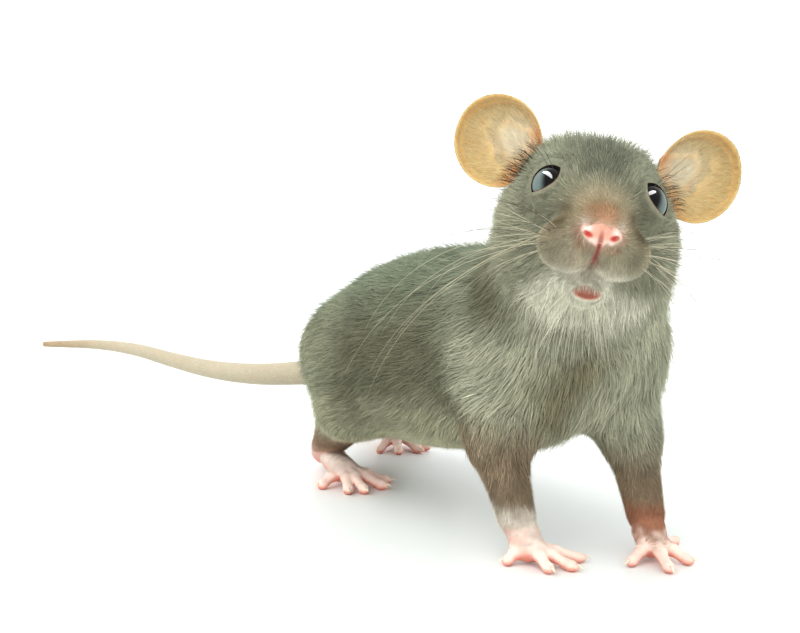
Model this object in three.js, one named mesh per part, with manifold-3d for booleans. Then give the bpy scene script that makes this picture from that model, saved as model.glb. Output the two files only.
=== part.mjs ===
// A life-size still model of a young grey dumbo-eared rat, standing with its head raised and turned.
// Millimetres, +Z up. The rat faces -Y, its left side is +X, and its feet stand on Z = 0.
// Every size is measured to the tips of the coat.
import * as THREE from "three";
import { mergeVertices } from "three/addons/utils/BufferGeometryUtils.js";
import Module from "manifold-3d";

const wasm = await Module();
wasm.setup();

const V = (x, y, z) => new THREE.Vector3(x, y, z);
const DEG = Math.PI / 180;
const SIDES = { right: -1, left: 1 };

// ---------------------------------------------------------------- driving dimensions

const GAP = 0.3; // width of the thin cuts between neighbouring parts
const CELL = { trunk: 5.1, head: 2.65, leg: 3.6 }; // facet sizes

// The trunk: balls along the spine, from the rump to the neck, with their half width and half height.
const SPINE = [
  { at: V(0.8, 38, 27.6), radius: 17.2 },
  { at: V(-0.5, 22, 32.2), radius: 20.5 },
  { at: V(-2, 2, 34.8), radius: 21.8 },
  { at: V(-3, -18, 37.4), radius: 20.2 },
  { at: V(-2.4, -31, 41.5), radius: 18.2 },
  { at: V(-4.2, -40, 52), radius: 17.2 },
  { at: V(-7.4, -45, 59), radius: 14.6 },
];
const SPINE_STEPS = 24; // how many short lengths the smooth course through those balls has
const BRISKET = { at: V(-3.5, -30, 31.5), radius: 11.5 }; // the low front of the chest, between the forelegs

// The head stands in its own frame: x to its left, y to the back of the head, z up.
const HEAD = { at: V(-11.4, -51.6, 63.9), yaw: -39 * DEG, pitch: 0 * DEG, roll: 10.5 * DEG };
const EYE = { x: 7.3, y: -9.5, z: 1.5, radius: 3.1 };
const EAR = {
  base: V(12.4, 3, 4.3), // where the middle of the ear's inner edge meets the head
  lean: 68 * DEG, // how far the ear leans out from upright
  turn: 24 * DEG, // how far its hollow faces outwards
  halfLength: 8.4,
  halfWidth: 7.8,
  reach: 6.0, // from the base to the middle of the ear
  rise: 1.2, // how much higher than the base the middle of the ear lies
  cup: 2.8,
  thickness: 1.0,
};

// Forelegs: shoulder, elbow, wrist, middle of the palm, and where each digit ends on the floor, outermost first.
const FORELEGS = {
  right: {
    shoulder: V(-14, -29, 36), elbow: V(-15.2, -30.5, 21.5), wrist: V(-15, -36.2, 7.5),
    palm: V(-14.2, -38.6, 2.9),
    tips: [[-18.8, -37.8], [-15.4, -45.8], [-10.8, -47.2], [-6.2, -44]],
  },
  left: {
    shoulder: V(9, -34, 36), elbow: V(10.8, -38.5, 21), wrist: V(7.4, -46, 7.5),
    palm: V(6.2, -48.8, 2.9),
    tips: [[16.2, -45.6], [8.9, -55.6], [2.2, -57], [-0.9, -50.4]],
  },
};
// Hind legs: hip, knee, heel, the height where the foot ends, the ball of the foot, and the ends of its digits.
const HINDLEGS = {
  right: {
    hip: V(-8, 34, 31), knee: V(-15.2, 22.5, 21), heel: V(-8.6, 47, 5.2),
    hock: 8, ball: V(-12.2, 31, 3.6),
    tips: [[-19.2, 30], [-16.4, 21.9], [-13.1, 20], [-7, 21.2], [-3.4, 25.4]],
  },
  left: {
    hip: V(9, 37, 30), knee: V(16.5, 39, 18.5), heel: V(19, 74, 8.4),
    hock: 10, ball: V(21.8, 62, 3.6),
    tips: [[29.4, 60], [26.6, 52.6], [23, 50.8], [17, 52.4], [13.4, 57]],
  },
};
const TOE_RADIUS = { fore: 1.15, hind: 1.35 };
const CLAW_LENGTH = 1.5;

// The tail: its course from inside the rump to the tip, and its radius at each end.
const TAIL_COURSE = [
  V(0.5, 44, 25.5), V(-7, 58, 23.5), V(-14.8, 73, 22), V(-20.5, 91, 21.8), V(-25.7, 106, 23.2),
  V(-31.6, 121, 25.2), V(-38, 137, 25.7), V(-49, 158, 24.7),
];
const TAIL_RADIUS = { root: 3.4, tip: 0.8 };
const TAIL_LENGTHS = ["tail_base", "tail_middle", "tail_tip"];

const COLOURS = {
  fur: 0x77776c, skin: 0xe9b8a6, ear: 0xdfa878, tail: 0xcbb3a2, eye: 0x0c0d12,
};

// ---------------------------------------------------------------- distance fields

// Joins two distances with a fillet about as wide as `blend`.
function smoothMin(a, b, blend) {
  const h = Math.max(blend - Math.abs(a - b), 0) / blend;
  return Math.min(a, b) - (h * h * blend) / 4;
}

function ellipsoid(p, centre, radii) {
  const x = (p.x - centre.x) / radii.x;
  const y = (p.y - centre.y) / radii.y;
  const z = (p.z - centre.z) / radii.z;
  const scaled = Math.hypot(x, y, z);
  const slope = Math.hypot(x / radii.x, y / radii.y, z / radii.z);
  return slope < 1e-9 ? -Math.min(radii.x, radii.y, radii.z) : (scaled * (scaled - 1)) / slope;
}

// A limb segment from a to b whose radius runs from ra to rb.
function taperedCapsule(p, a, b, ra, rb) {
  const ax = b.x - a.x, ay = b.y - a.y, az = b.z - a.z;
  const px = p.x - a.x, py = p.y - a.y, pz = p.z - a.z;
  const t = (px * ax + py * ay + pz * az) / (ax * ax + ay * ay + az * az);
  const k = Math.min(Math.max(t, 0), 1);
  return Math.hypot(px - ax * k, py - ay * k, pz - az * k) - (ra + (rb - ra) * k);
}

const headTurn = new THREE.Matrix4()
  .makeRotationZ(HEAD.yaw)
  .multiply(new THREE.Matrix4().makeRotationX(HEAD.pitch))
  .multiply(new THREE.Matrix4().makeRotationY(HEAD.roll));
const headMatrix = new THREE.Matrix4().makeTranslation(HEAD.at).multiply(headTurn);
const toHead = headMatrix.clone().invert();

// The head, in its own frame.
function headField(p) {
  const mirrored = { x: Math.abs(p.x), y: p.y, z: p.z };
  const crown = { x: Math.max(mirrored.x - 4, 0), y: p.y, z: p.z };
  let d = ellipsoid(crown, V(0, 2.5, 0.6), V(8.4, 14.5, 10.6)); // braincase, flat across the top
  d = smoothMin(d, taperedCapsule(p, V(0, -5, -0.6), V(0, -20, -5.2), 8.6, 4.6), 5); // snout
  d = smoothMin(d, ellipsoid(mirrored, V(7.4, 2, -6), V(7.6, 11, 8.5)), 4); // cheeks
  d = smoothMin(d, ellipsoid(mirrored, V(3.9, -16.8, -8.0), V(5.0, 6.2, 4.8)), 2.5); // whisker pads
  d = smoothMin(d, ellipsoid(mirrored, V(5.6, -7.6, 1.4), V(4.0, 5.2, 4.4)), 3); // eye surrounds
  d = smoothMin(d, taperedCapsule(p, V(0, -1, -10), V(0, -13.5, -13.6), 7.5, 3.6), 3); // lower jaw
  return smoothMin(d, ellipsoid(p, V(0, -22.6, -5.2), V(3.2, 2.6, 2.9)), 1.6); // nose
}

const spineCourse = new THREE.CatmullRomCurve3(SPINE.map((ball) => ball.at));
const spineGirth = new THREE.CatmullRomCurve3(SPINE.map((ball, i) => V(i, ball.radius, 0)));
const spineBalls = Array.from({ length: SPINE_STEPS + 1 }, (_, i) => ({
  at: spineCourse.getPoint(i / SPINE_STEPS),
  radius: spineGirth.getPoint(i / SPINE_STEPS).y,
}));

function trunkField(p) {
  let d = Infinity;
  for (let i = 0; i < SPINE_STEPS; i++) {
    const [a, b] = [spineBalls[i], spineBalls[i + 1]];
    d = Math.min(d, taperedCapsule(p, a.at, b.at, a.radius, b.radius));
  }
  return smoothMin(d, taperedCapsule(p, BRISKET.at, SPINE[2].at, BRISKET.radius, 12), 6);
}

function forelegField(p, leg) {
  const upper = taperedCapsule(p, leg.shoulder, leg.elbow, 9.6, 5.8);
  const lower = taperedCapsule(p, leg.elbow, leg.wrist, 5.2, 3.4);
  return smoothMin(upper, lower, 4);
}

function hindlegField(p, leg) {
  const thigh = taperedCapsule(p, leg.hip, leg.knee, 13, 8.3);
  const shank = taperedCapsule(p, leg.knee, leg.heel, 6.5, 3.6);
  return smoothMin(thigh, shank, 5);
}

const scratch = V(0, 0, 0);
function bodyField(p) {
  let d = trunkField(p);
  for (const side of Object.keys(SIDES)) {
    d = smoothMin(d, forelegField(p, FORELEGS[side]), 7);
    d = smoothMin(d, hindlegField(p, HINDLEGS[side]), 6);
  }
  scratch.set(p.x, p.y, p.z).applyMatrix4(toHead);
  return smoothMin(d, headField(scratch), 7);
}

// ---------------------------------------------------------------- solids

// The solid of a geometry, with its shared vertices merged.
function solidOf(geometry) {
  const bare = new THREE.BufferGeometry();
  bare.setAttribute("position", geometry.getAttribute("position"));
  if (geometry.index) bare.setIndex(geometry.index);
  const merged = mergeVertices(bare, 1e-4);
  const mesh = new wasm.Mesh({
    numProp: 3,
    vertProperties: merged.getAttribute("position").array,
    triVerts: new Uint32Array(merged.index.array),
  });
  return new wasm.Manifold(mesh);
}

function geometryOf(solid) {
  const mesh = solid.getMesh();
  return new THREE.BufferGeometry()
    .setAttribute("position", new THREE.BufferAttribute(mesh.vertProperties, 3))
    .setIndex(new THREE.BufferAttribute(mesh.triVerts, 1))
    .toNonIndexed();
}

// Moves a point of a net on to the surface where the field is zero, at most a third of a cell away.
function settle(point, field, cell) {
  const start = point.clone();
  const step = 0.02;
  for (let round = 0; round < 2; round++) {
    const here = field(point);
    const slope = V(
      field({ x: point.x + step, y: point.y, z: point.z }) - here,
      field({ x: point.x, y: point.y + step, z: point.z }) - here,
      field({ x: point.x, y: point.y, z: point.z + step }) - here,
    ).divideScalar(step);
    point.addScaledVector(slope, -here / Math.max(slope.lengthSq(), 0.25));
  }
  const moved = point.clone().sub(start);
  point.copy(start).add(moved.clampLength(0, cell / 3));
}

// The surface where a field is zero, inside a box, as one smooth net of quads (surface nets).
function netOf(field, box, cell) {
  const size = box.getSize(V(0, 0, 0));
  const count = [size.x, size.y, size.z].map((s) => Math.ceil(s / cell) + 1);
  const [nx, ny, nz] = count;
  const strides = [1, nx, nx * ny];
  const indexOf = (i, j, k) => i + nx * j + nx * ny * k;
  const values = new Float64Array(nx * ny * nz);
  const p = V(0, 0, 0);
  for (let k = 0; k < nz; k++)
    for (let j = 0; j < ny; j++)
      for (let i = 0; i < nx; i++) {
        const edge = i === 0 || j === 0 || k === 0 || i === nx - 1 || j === ny - 1 || k === nz - 1;
        p.set(box.min.x + i * cell, box.min.y + j * cell, box.min.z + k * cell);
        values[indexOf(i, j, k)] = edge ? cell / 2 : field(p);
      }
  const positions = [];
  const vertexOf = new Map();
  for (let k = 0; k + 1 < nz; k++)
    for (let j = 0; j + 1 < ny; j++)
      for (let i = 0; i + 1 < nx; i++) {
        const sum = V(0, 0, 0);
        let crossings = 0;
        for (let corner = 0; corner < 8; corner++)
          for (let axis = 0; axis < 3; axis++) {
            if (corner & (1 << axis)) continue;
            const at = [i + (corner & 1), j + ((corner >> 1) & 1), k + ((corner >> 2) & 1)];
            const here = indexOf(...at);
            const [a, b] = [values[here], values[here + strides[axis]]];
            if (a < 0 === b < 0) continue;
            at[axis] += a / (a - b);
            sum.add(p.set(...at));
            crossings++;
          }
        if (!crossings) continue;
        vertexOf.set(indexOf(i, j, k), positions.length / 3);
        sum.multiplyScalar(cell / crossings).add(box.min);
        if (crossings > 2) settle(sum, field, cell);
        positions.push(sum.x, sum.y, sum.z);
      }
  const faces = [];
  const corner = (n) => V(positions[3 * n], positions[3 * n + 1], positions[3 * n + 2]);
  for (let k = 0; k + 1 < nz; k++)
    for (let j = 0; j + 1 < ny; j++)
      for (let i = 0; i + 1 < nx; i++)
        for (let axis = 0; axis < 3; axis++) {
          if ([i, j, k].some((n, other) => n === 0 && other !== axis)) continue;
          const here = indexOf(i, j, k);
          const inside = values[here] < 0;
          if (inside === values[here + strides[axis]] < 0) continue;
          const [du, dv] = [strides[(axis + 1) % 3], strides[(axis + 2) % 3]];
          const quad = [here - du - dv, here - dv, here, here - du].map((n) => vertexOf.get(n));
          if (!inside) quad.reverse();
          const [a, b, c, d] = quad;
          const short = corner(a).distanceTo(corner(c)) < corner(b).distanceTo(corner(d));
          faces.push(...(short ? [a, b, c, a, c, d] : [b, c, d, b, d, a]));
        }
  return new THREE.BufferGeometry()
    .setAttribute("position", new THREE.BufferAttribute(new Float32Array(positions), 3))
    .setIndex(faces);
}

function fieldSolid(low, high, cell, grow = 0) {
  return solidOf(netOf((p) => bodyField(p) - grow, new THREE.Box3(low, high), cell));
}

// A block with the given corners, turned and placed by a matrix.
function block(low, high, matrix = new THREE.Matrix4()) {
  const size = high.clone().sub(low);
  const middle = high.clone().add(low).multiplyScalar(0.5);
  const geometry = new THREE.BoxGeometry(size.x, size.y, size.z);
  geometry.applyMatrix4(new THREE.Matrix4().makeTranslation(middle));
  return solidOf(geometry.applyMatrix4(matrix));
}

// Everything beyond a plane, on the side its normal points to, moved `shift` along the normal.
const FAR = 400;
function beyond(point, normal, shift = 0) {
  const turn = new THREE.Quaternion().setFromUnitVectors(V(0, 0, 1), normal.clone().normalize());
  const at = point.clone().addScaledVector(normal.clone().normalize(), shift);
  const matrix = new THREE.Matrix4().compose(at, turn, V(1, 1, 1));
  return block(V(-FAR, -FAR, 0), V(FAR, FAR, FAR), matrix);
}

// The largest connected piece of a solid.
function largest(solid) {
  return solid.decompose().reduce((a, b) => (a.volume() > b.volume() ? a : b));
}

// A tube with rounded ends through `points`, with `radiusAt(t)` at share t of its length.
function tube(points, radiusAt, steps, sides, flat = 1) {
  const curve = new THREE.CatmullRomCurve3(points, false, "centripetal");
  const frames = curve.computeFrenetFrames(steps);
  const rings = [];
  for (let i = 0; i <= steps; i++) {
    const t = i / steps;
    const centre = curve.getPointAt(t);
    const across = V(0, 0, 1).cross(frames.tangents[i]);
    if (across.length() < 0.05) across.copy(frames.normals[i]);
    across.normalize();
    const up = frames.tangents[i].clone().cross(across).normalize();
    const radius = radiusAt(t);
    rings.push(ringOf(centre, across, up, radius, radius * flat, sides));
  }
  const first = curve.getPointAt(0).addScaledVector(frames.tangents[0], -radiusAt(0) * 0.6);
  const last = curve.getPointAt(1).addScaledVector(frames.tangents[steps], radiusAt(1) * 0.6);
  return closedLoft(rings, first, last);
}

function ringOf(centre, across, up, width, height, sides) {
  const ring = [];
  for (let s = 0; s < sides; s++) {
    const angle = (2 * Math.PI * s) / sides;
    const point = centre.clone().addScaledVector(across, width * Math.cos(angle));
    ring.push(point.addScaledVector(up, height * Math.sin(angle)));
  }
  return ring;
}

// A closed solid through rings of equal size, ending in a point at each end.
function closedLoft(rings, first, last) {
  const sides = rings[0].length;
  const positions = [first, ...rings.flat(), last].flatMap((p) => [p.x, p.y, p.z]);
  const end = 1 + rings.length * sides;
  const faces = [];
  for (let s = 0; s < sides; s++) {
    const next = (s + 1) % sides;
    faces.push(0, 1 + next, 1 + s);
    for (let r = 0; r + 1 < rings.length; r++) {
      const [a, b] = [1 + r * sides + s, 1 + r * sides + next];
      faces.push(a, b, b + sides, a, b + sides, a + sides);
    }
    faces.push(end - sides + s, end - sides + next, end);
  }
  const geometry = new THREE.BufferGeometry()
    .setAttribute("position", new THREE.BufferAttribute(new Float32Array(positions), 3))
    .setIndex(faces);
  const solid = solidOf(geometry);
  return solid;
}

// ---------------------------------------------------------------- feet

// One digit with its claw, from its knuckle over a raised joint to its tip on the floor.
function digit(knuckle, tip, radius) {
  const direction = tip.clone().sub(knuckle).setZ(0);
  const length = direction.length();
  direction.normalize();
  const at = (share, height) => knuckle.clone().addScaledVector(direction, length * share).setZ(height);
  const joint = Math.max(knuckle.z * 0.85, radius * 1.7);
  const toe = tube([knuckle, at(0.35, joint), at(0.72, radius * 1.1), at(1, radius * 0.52)],
    (t) => radius * (1.2 - 0.3 * t), 3, 5);
  const claw = tube([at(0.97, radius * 1.2), at(1.1, radius * 1.1), at(1 + CLAW_LENGTH / length, 0.35)],
    (t) => 0.6 - 0.3 * t, 1, 4);
  return toe.add(claw);
}

// A foot: its root, its ball or palm, and a fan of digits, all cut level at the floor.
function foot(course, radii, flat, ball, tips, toeRadius) {
  let solid = tube(course, (t) => THREE.MathUtils.lerp(radii[0], radii[1], t), 3, 8, flat);
  tips.forEach(([x, y], i) => {
    const middle = (tips.length - 1) / 2;
    const tip = V(x, y, 0);
    const knuckle = ball.clone().addScaledVector(tip.clone().sub(ball).setZ(0).normalize(), radii[1] * 0.55);
    knuckle.z -= 0.25 * Math.abs(i - middle);
    solid = solid.add(digit(knuckle, tip, toeRadius));
  });
  return solid.subtract(beyond(V(0, 0, 0), V(0, 0, -1)));
}

const WRIST_NORMAL = V(0, 0.35, 1);

function forepaw(side) {
  const { wrist, palm, tips } = FORELEGS[side];
  const course = [wrist.clone().setZ(wrist.z + 2), wrist, palm];
  const whole = foot(course, [3.0, 3.3], 0.82, palm, tips, TOE_RADIUS.fore);
  return whole.subtract(beyond(wrist, WRIST_NORMAL, -GAP / 2));
}

function anklePlane({ heel, hock }) {
  return { point: heel.clone().setZ(hock), normal: V(0, 0, 1) };
}

function hindFoot(side) {
  const { heel, knee, ball, tips } = HINDLEGS[side];
  const ankle = anklePlane(HINDLEGS[side]);
  const shank = tube([heel, heel.clone().lerp(knee, 0.5)], (t) => 3.1 + 1.4 * t, 2, 8);
  const whole = foot([heel, heel.clone().lerp(ball, 0.5), ball], [3.2, 3.8], 0.82, ball, tips, TOE_RADIUS.hind);
  return whole.add(shank).subtract(beyond(ankle.point, ankle.normal, -GAP / 2));
}

// ---------------------------------------------------------------- ears, eyes, tail

// A point of the ear: share 0 is its middle and 1 its rim, angle 0 points along its length.
function earPoint(share, angle, face, sign) {
  const { halfLength, halfWidth, cup, thickness, reach, rise } = EAR;
  const along = halfLength * share * Math.cos(angle);
  const across = halfWidth * share * Math.sin(angle);
  const dish = cup * (1 - share * share) + (face * thickness * Math.sqrt(1 - 0.75 * share ** 4)) / 2;
  return V(across - sign * rise, dish, along + reach);
}

function ear(side) {
  const [rings, sides] = [3, 20];
  const sign = SIDES[side];
  const positions = [];
  const push = (v) => positions.push(v.x, v.y, v.z) / 3 - 1;
  const grid = [1, -1].map((face) => {
    const pole = push(earPoint(0, 0, face, sign));
    const circles = [];
    for (let r = 1; r <= rings; r++)
      circles.push(Array.from({ length: sides }, (_, s) => push(earPoint(r / rings, (2 * Math.PI * s) / sides, face, sign))));
    return { pole, circles, face };
  });
  const faces = [];
  const quad = (a, b, c, d) => faces.push(a, b, c, a, c, d);
  for (let s = 0; s < sides; s++) {
    const n = (s + 1) % sides;
    for (const { pole, circles, face } of grid) {
      const order = face > 0 ? [s, n] : [n, s];
      faces.push(pole, circles[0][order[0]], circles[0][order[1]]);
      for (let r = 0; r + 1 < rings; r++)
        quad(circles[r][order[0]], circles[r + 1][order[0]], circles[r + 1][order[1]], circles[r][order[1]]);
    }
    const [back, front] = [grid[0].circles[rings - 1], grid[1].circles[rings - 1]];
    quad(back[n], back[s], front[s], front[n]);
  }
  const geometry = new THREE.BufferGeometry()
    .setAttribute("position", new THREE.BufferAttribute(new Float32Array(positions), 3))
    .setIndex(faces);
  const base = EAR.base.clone();
  base.x *= sign;
  const matrix = new THREE.Matrix4()
    .makeTranslation(base)
    .multiply(new THREE.Matrix4().makeRotationZ(sign * EAR.turn))
    .multiply(new THREE.Matrix4().makeRotationY(sign * EAR.lean));
  return solidOf(geometry.applyMatrix4(matrix).applyMatrix4(headMatrix));
}

function eyeCentre(side) {
  return V(SIDES[side] * EYE.x, EYE.y, EYE.z).applyMatrix4(headMatrix);
}

function ball(centre, radius, across, down) {
  const geometry = new THREE.SphereGeometry(radius, across, down);
  return solidOf(geometry.translate(centre.x, centre.y, centre.z));
}

function tailSolid() {
  const { root, tip } = TAIL_RADIUS;
  return tube(TAIL_COURSE, (t) => tip + (root - tip) * (1 - t) ** 0.85, 20, 8);
}

// ---------------------------------------------------------------- cutting the body into its parts

const NECK_TOP = { point: V(0, 9.5, 0).applyMatrix4(headMatrix), normal: V(0.45, 0.62, -0.64) };
const NECK_BASE = { point: V(-4.6, -33, 46), normal: V(0.1, 0.72, -0.69) };
const INNER = { fore: 6, hind: 5 }; // how far from the midline each leg's inner cut lies

// The block of space that each leg is cut out of, grown by `grow` where the trunk makes room for it.
function foreSocket(side, grow = 0) {
  const sign = SIDES[side];
  const middle = -3.4;
  const [near, far] = [middle + sign * (INNER.fore - grow), middle + sign * 40];
  const low = V(Math.min(near, far), -70, -5);
  const high = V(Math.max(near, far), FORELEGS[side].shoulder.y + 11 + grow, 33 + grow);
  return block(low, high);
}

function hindSocket(side, grow = 0) {
  const sign = SIDES[side];
  const [near, far] = [sign * (INNER.hind - grow), sign * 40];
  const low = V(Math.min(near, far), HINDLEGS[side].knee.y - 11 - grow, -5);
  const high = V(Math.max(near, far), 90, 31 + grow);
  return block(low, high);
}

const tailEnvelope = () => {
  const { root, tip } = TAIL_RADIUS;
  return tube(TAIL_COURSE, (t) => tip + (root - tip) * (1 - t) ** 0.85 + GAP, 20, 8);
};

function headSolid(grow = 0) {
  const c = HEAD.at;
  let solid = fieldSolid(V(c.x - 33, c.y - 30, c.z - 30), V(c.x + 24, c.y + 27, c.z + 19), CELL.head, grow);
  if (grow > 0) return solid;
  solid = solid.subtract(beyond(NECK_TOP.point, NECK_TOP.normal, -GAP / 2));
  for (const side of Object.keys(SIDES)) {
    solid = solid.subtract(ball(eyeCentre(side), EYE.radius + GAP, 12, 7));
  }
  return largest(solid);
}

function bodyParts() {
  const trunkBody = fieldSolid(V(-32, -72, 0.3), V(32, 66, 82), CELL.trunk);
  const legBody = fieldSolid(V(-32, -66, 1), V(34, 86, 46), CELL.leg);
  const behindNeckTop = beyond(NECK_TOP.point, NECK_TOP.normal, GAP / 2);
  const neck = trunkBody.intersect(behindNeckTop).subtract(beyond(NECK_BASE.point, NECK_BASE.normal, -GAP / 2));
  let trunk = trunkBody.intersect(behindNeckTop).intersect(beyond(NECK_BASE.point, NECK_BASE.normal, GAP / 2));
  const parts = { neck: largest(neck) };
  for (const side of Object.keys(SIDES)) {
    const fore = FORELEGS[side];
    const hind = HINDLEGS[side];
    const ankle = anklePlane(hind);
    const leg = legBody.intersect(foreSocket(side)).subtract(beyond(NECK_BASE.point, NECK_BASE.normal.clone().negate(), -GAP / 2));
    parts[`foreleg_${side}`] = largest(leg.intersect(beyond(fore.wrist, WRIST_NORMAL, GAP / 2)));
    parts[`hindleg_${side}`] = largest(
      legBody
        .intersect(hindSocket(side))
        .subtract(beyond(ankle.point, ankle.normal.clone().negate(), -GAP / 2))
        .subtract(tailEnvelope()),
    );
    trunk = trunk.subtract(foreSocket(side, GAP)).subtract(hindSocket(side, GAP));
  }
  parts.trunk = largest(trunk.subtract(tailEnvelope()));
  return parts;
}

function tailParts(trunk) {
  const whole = tailSolid();
  const curve = new THREE.CatmullRomCurve3(TAIL_COURSE, false, "centripetal");
  const cuts = [0.02, 0.36, 0.7, 1.1];
  const parts = {};
  TAIL_LENGTHS.forEach((name, i) => {
    let piece = whole;
    if (i > 0) piece = piece.intersect(beyond(curve.getPointAt(cuts[i]), curve.getTangentAt(cuts[i]), GAP / 2));
    if (cuts[i + 1] < 1)
      piece = piece.subtract(beyond(curve.getPointAt(cuts[i + 1]), curve.getTangentAt(cuts[i + 1]), -GAP / 2));
    parts[name] = piece;
  });
  return parts;
}

// ---------------------------------------------------------------- the model

const solids = { head: headSolid(), ...bodyParts() };
Object.assign(solids, tailParts(solids.trunk));
const headRoom = headSolid(1.3 * GAP);
for (const side of Object.keys(SIDES)) {
  solids[`eye_${side}`] = ball(eyeCentre(side), EYE.radius, 12, 7);
  solids[`forepaw_${side}`] = largest(forepaw(side));
  solids[`hind_foot_${side}`] = largest(hindFoot(side));
  solids[`ear_${side}`] = largest(ear(side).subtract(headRoom));
}

const FINISH = [
  [/^eye/, COLOURS.eye, 0.1],
  [/^ear/, COLOURS.ear, 0.6],
  [/^tail/, COLOURS.tail, 0.7],
  [/^(forepaw|hind_foot)/, COLOURS.skin, 0.6],
  [/./, COLOURS.fur, 0.9],
];

// The origin is on the floor under the middle of everything.
const whole = new THREE.Box3();
for (const solid of Object.values(solids)) {
  const { min, max } = solid.boundingBox();
  whole.expandByPoint(V(...min)).expandByPoint(V(...max));
}
const origin = whole.getCenter(V(0, 0, 0)).setZ(0);

const rat = new THREE.Group();
for (const [name, solid] of Object.entries(solids)) {
  const [, color, roughness] = FINISH.find(([pattern]) => pattern.test(name));
  const material = new THREE.MeshStandardMaterial({ color, roughness, metalness: 0 });
  const mesh = new THREE.Mesh(geometryOf(solid).translate(-origin.x, -origin.y, 0), material);
  mesh.name = name;
  rat.add(mesh);
}

export default rat;
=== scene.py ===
"""A life-size museum model of a young grey rat: one skin, a coat of tufts, eyes, claws and whiskers.

Shapes are worked out in the rat's own frame, in millimetres: it faces -Y, its left is +X, the floor is z = 0.
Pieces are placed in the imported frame, in metres, when they become meshes. In the head's frame -Y is the
nose's way, and most of its details are given for the left half and folded over to the right.
"""
import math
from types import SimpleNamespace

import bmesh
import bpy
import numpy as np
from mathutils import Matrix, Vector


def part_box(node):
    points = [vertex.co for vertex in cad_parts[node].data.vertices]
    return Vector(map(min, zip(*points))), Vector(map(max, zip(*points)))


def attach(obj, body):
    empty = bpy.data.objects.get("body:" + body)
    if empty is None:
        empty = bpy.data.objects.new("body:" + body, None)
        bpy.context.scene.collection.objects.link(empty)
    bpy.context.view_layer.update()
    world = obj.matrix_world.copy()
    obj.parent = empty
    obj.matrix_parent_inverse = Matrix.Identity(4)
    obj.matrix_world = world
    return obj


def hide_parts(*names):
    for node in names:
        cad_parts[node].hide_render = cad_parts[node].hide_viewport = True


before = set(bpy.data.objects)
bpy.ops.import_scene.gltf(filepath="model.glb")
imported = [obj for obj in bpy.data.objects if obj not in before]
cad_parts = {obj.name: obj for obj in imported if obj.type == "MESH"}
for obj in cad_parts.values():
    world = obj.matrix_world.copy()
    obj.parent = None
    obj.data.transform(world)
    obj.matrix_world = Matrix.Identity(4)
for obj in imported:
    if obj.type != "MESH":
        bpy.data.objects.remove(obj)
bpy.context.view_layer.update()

rng = np.random.default_rng(20)


def vec(*numbers):
    return np.array(numbers, float)


# ---------------------------------------------------------------- measures, in millimetres

SIDES = {"left": 1, "right": -1}

# The middle of the trunk from rump to neck, and its half thickness there.
SPINE = [
    (vec(0.8, 38, 26.4), 16.9), (vec(-0.5, 22, 32.2), 20.5), (vec(-2, 2, 34.8), 21.8),
    (vec(-3, -18, 37.4), 20.2), (vec(-2.4, -31, 41.5), 18.2), (vec(-4.2, -40, 52), 17.2),
    (vec(-7.4, -45, 59), 14.6),
]
SPINE_STEPS = 24
BRISKET = vec(-3.5, -30, 31.5), SPINE[2][0], 11.5, 12
LEFT_CHEST = vec(8.6, -37.8, 38.5), vec(9.6, 9.6, 10.5)

SOLID_HEAD_AT, SOLID_EYE_AT = vec(-11.4, -51.6, 63.9), vec(-7.3, -9.5, 1.5)
HEAD_YAW, HEAD_ROLL = math.radians(-39), math.radians(10.5)
FACE_TURN, FACE_SHIFT = math.radians(1.3), vec(-0.7, 0, 0)  # how the skin's head differs from the solid one

# The head's lumps: an ellipsoid is its middle and half sizes, a capsule its two ends and radii.
CROWN, CROWN_SHIFT, CROWN_FLAT = (vec(0, 2.5, 0.6), vec(7.9, 14.5, 9.5)), 1.1, 4
SNOUT = vec(0, -5, -0.6), vec(0, -20, -5.2), 8.6, 4.6
CHEEK = vec(7.4, 2, -6), vec(6.9, 11, 8.5)
PAD = vec(3.9, -16.8, -7.7), vec(4.9, 6.2, 4.3)
BROW = vec(5.6, -7.6, 1.4), vec(4.0, 5.2, 4.4)
JAW = vec(0, -1, -10), vec(0, -13.5, -13.6), 7.5, 3.6
NOSE_END = vec(0, -22.6, -5.2), vec(3.2, 2.6, 2.9)

# Each eye: its middle and radius, and how it looks out: along the slit, down across it, and straight out.
EYE_AT, EYE_RADIUS = vec(7.25, -9.2, 0.6), 3.35
SLIT_ALONG, EYE_OUT = vec(0.638, 0.080, -0.766), vec(0.621, -0.641, 0.451)
SLIT_ACROSS = np.cross(SLIT_ALONG, EYE_OUT)
SLIT_HALF, SLIT_FOCUS = (0.60, 0.385), 2.5
LID_THICKNESS, LID_TUCK = 0.24, 0.25

NOSE_PAD = vec(0, -23.3, -5.45), vec(2.75, 2.6, 1.6)
NOSE_BULGE = vec(0, -22.7, -5.5), vec(2.75, 2.35, 2.5)
NOSE_LOBE = vec(1.5, -23.95, -6.0), vec(1.3, 1.15, 1.05)
NOSTRIL = vec(1.45, -25.7, -5.92), vec(2.35, -24.6, -5.6), 0.42, 0.2
NOSTRIL_CREASE = vec(1.0, -24.6, -7.6), vec(2.7, -23.6, -7.1)
PHILTRUM = vec(0, -25.5, -4.6), vec(0, -24.9, -7.4)
CLEFT_TOP, CLEFT_END, CLEFT_FRONT = -7.0, -10.9, -16.5
MOUTH_AT, MOUTH_HALF = vec(0.35, -17.1, -14.3), vec(2.1, 1.6, 1.0)
CHIN = MOUTH_AT + (0, 1.1, 0), vec(2.5, 1.6, 1.5)

# An ear is a cup with its own frame: u runs down and w away from the head, as shares of its width and length.
EAR = {"base": (12.4, 3.0, 4.3), "length": 8.4, "width": 7.8, "reach": 6.0, "rise": 1.2, "cup": 2.8}
EAR_SWING, EAR_LEAN = math.radians(24), math.radians(68)
EAR_RINGS, EAR_SPOKES, EAR_THICKNESS = 26, 110, 0.62
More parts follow.
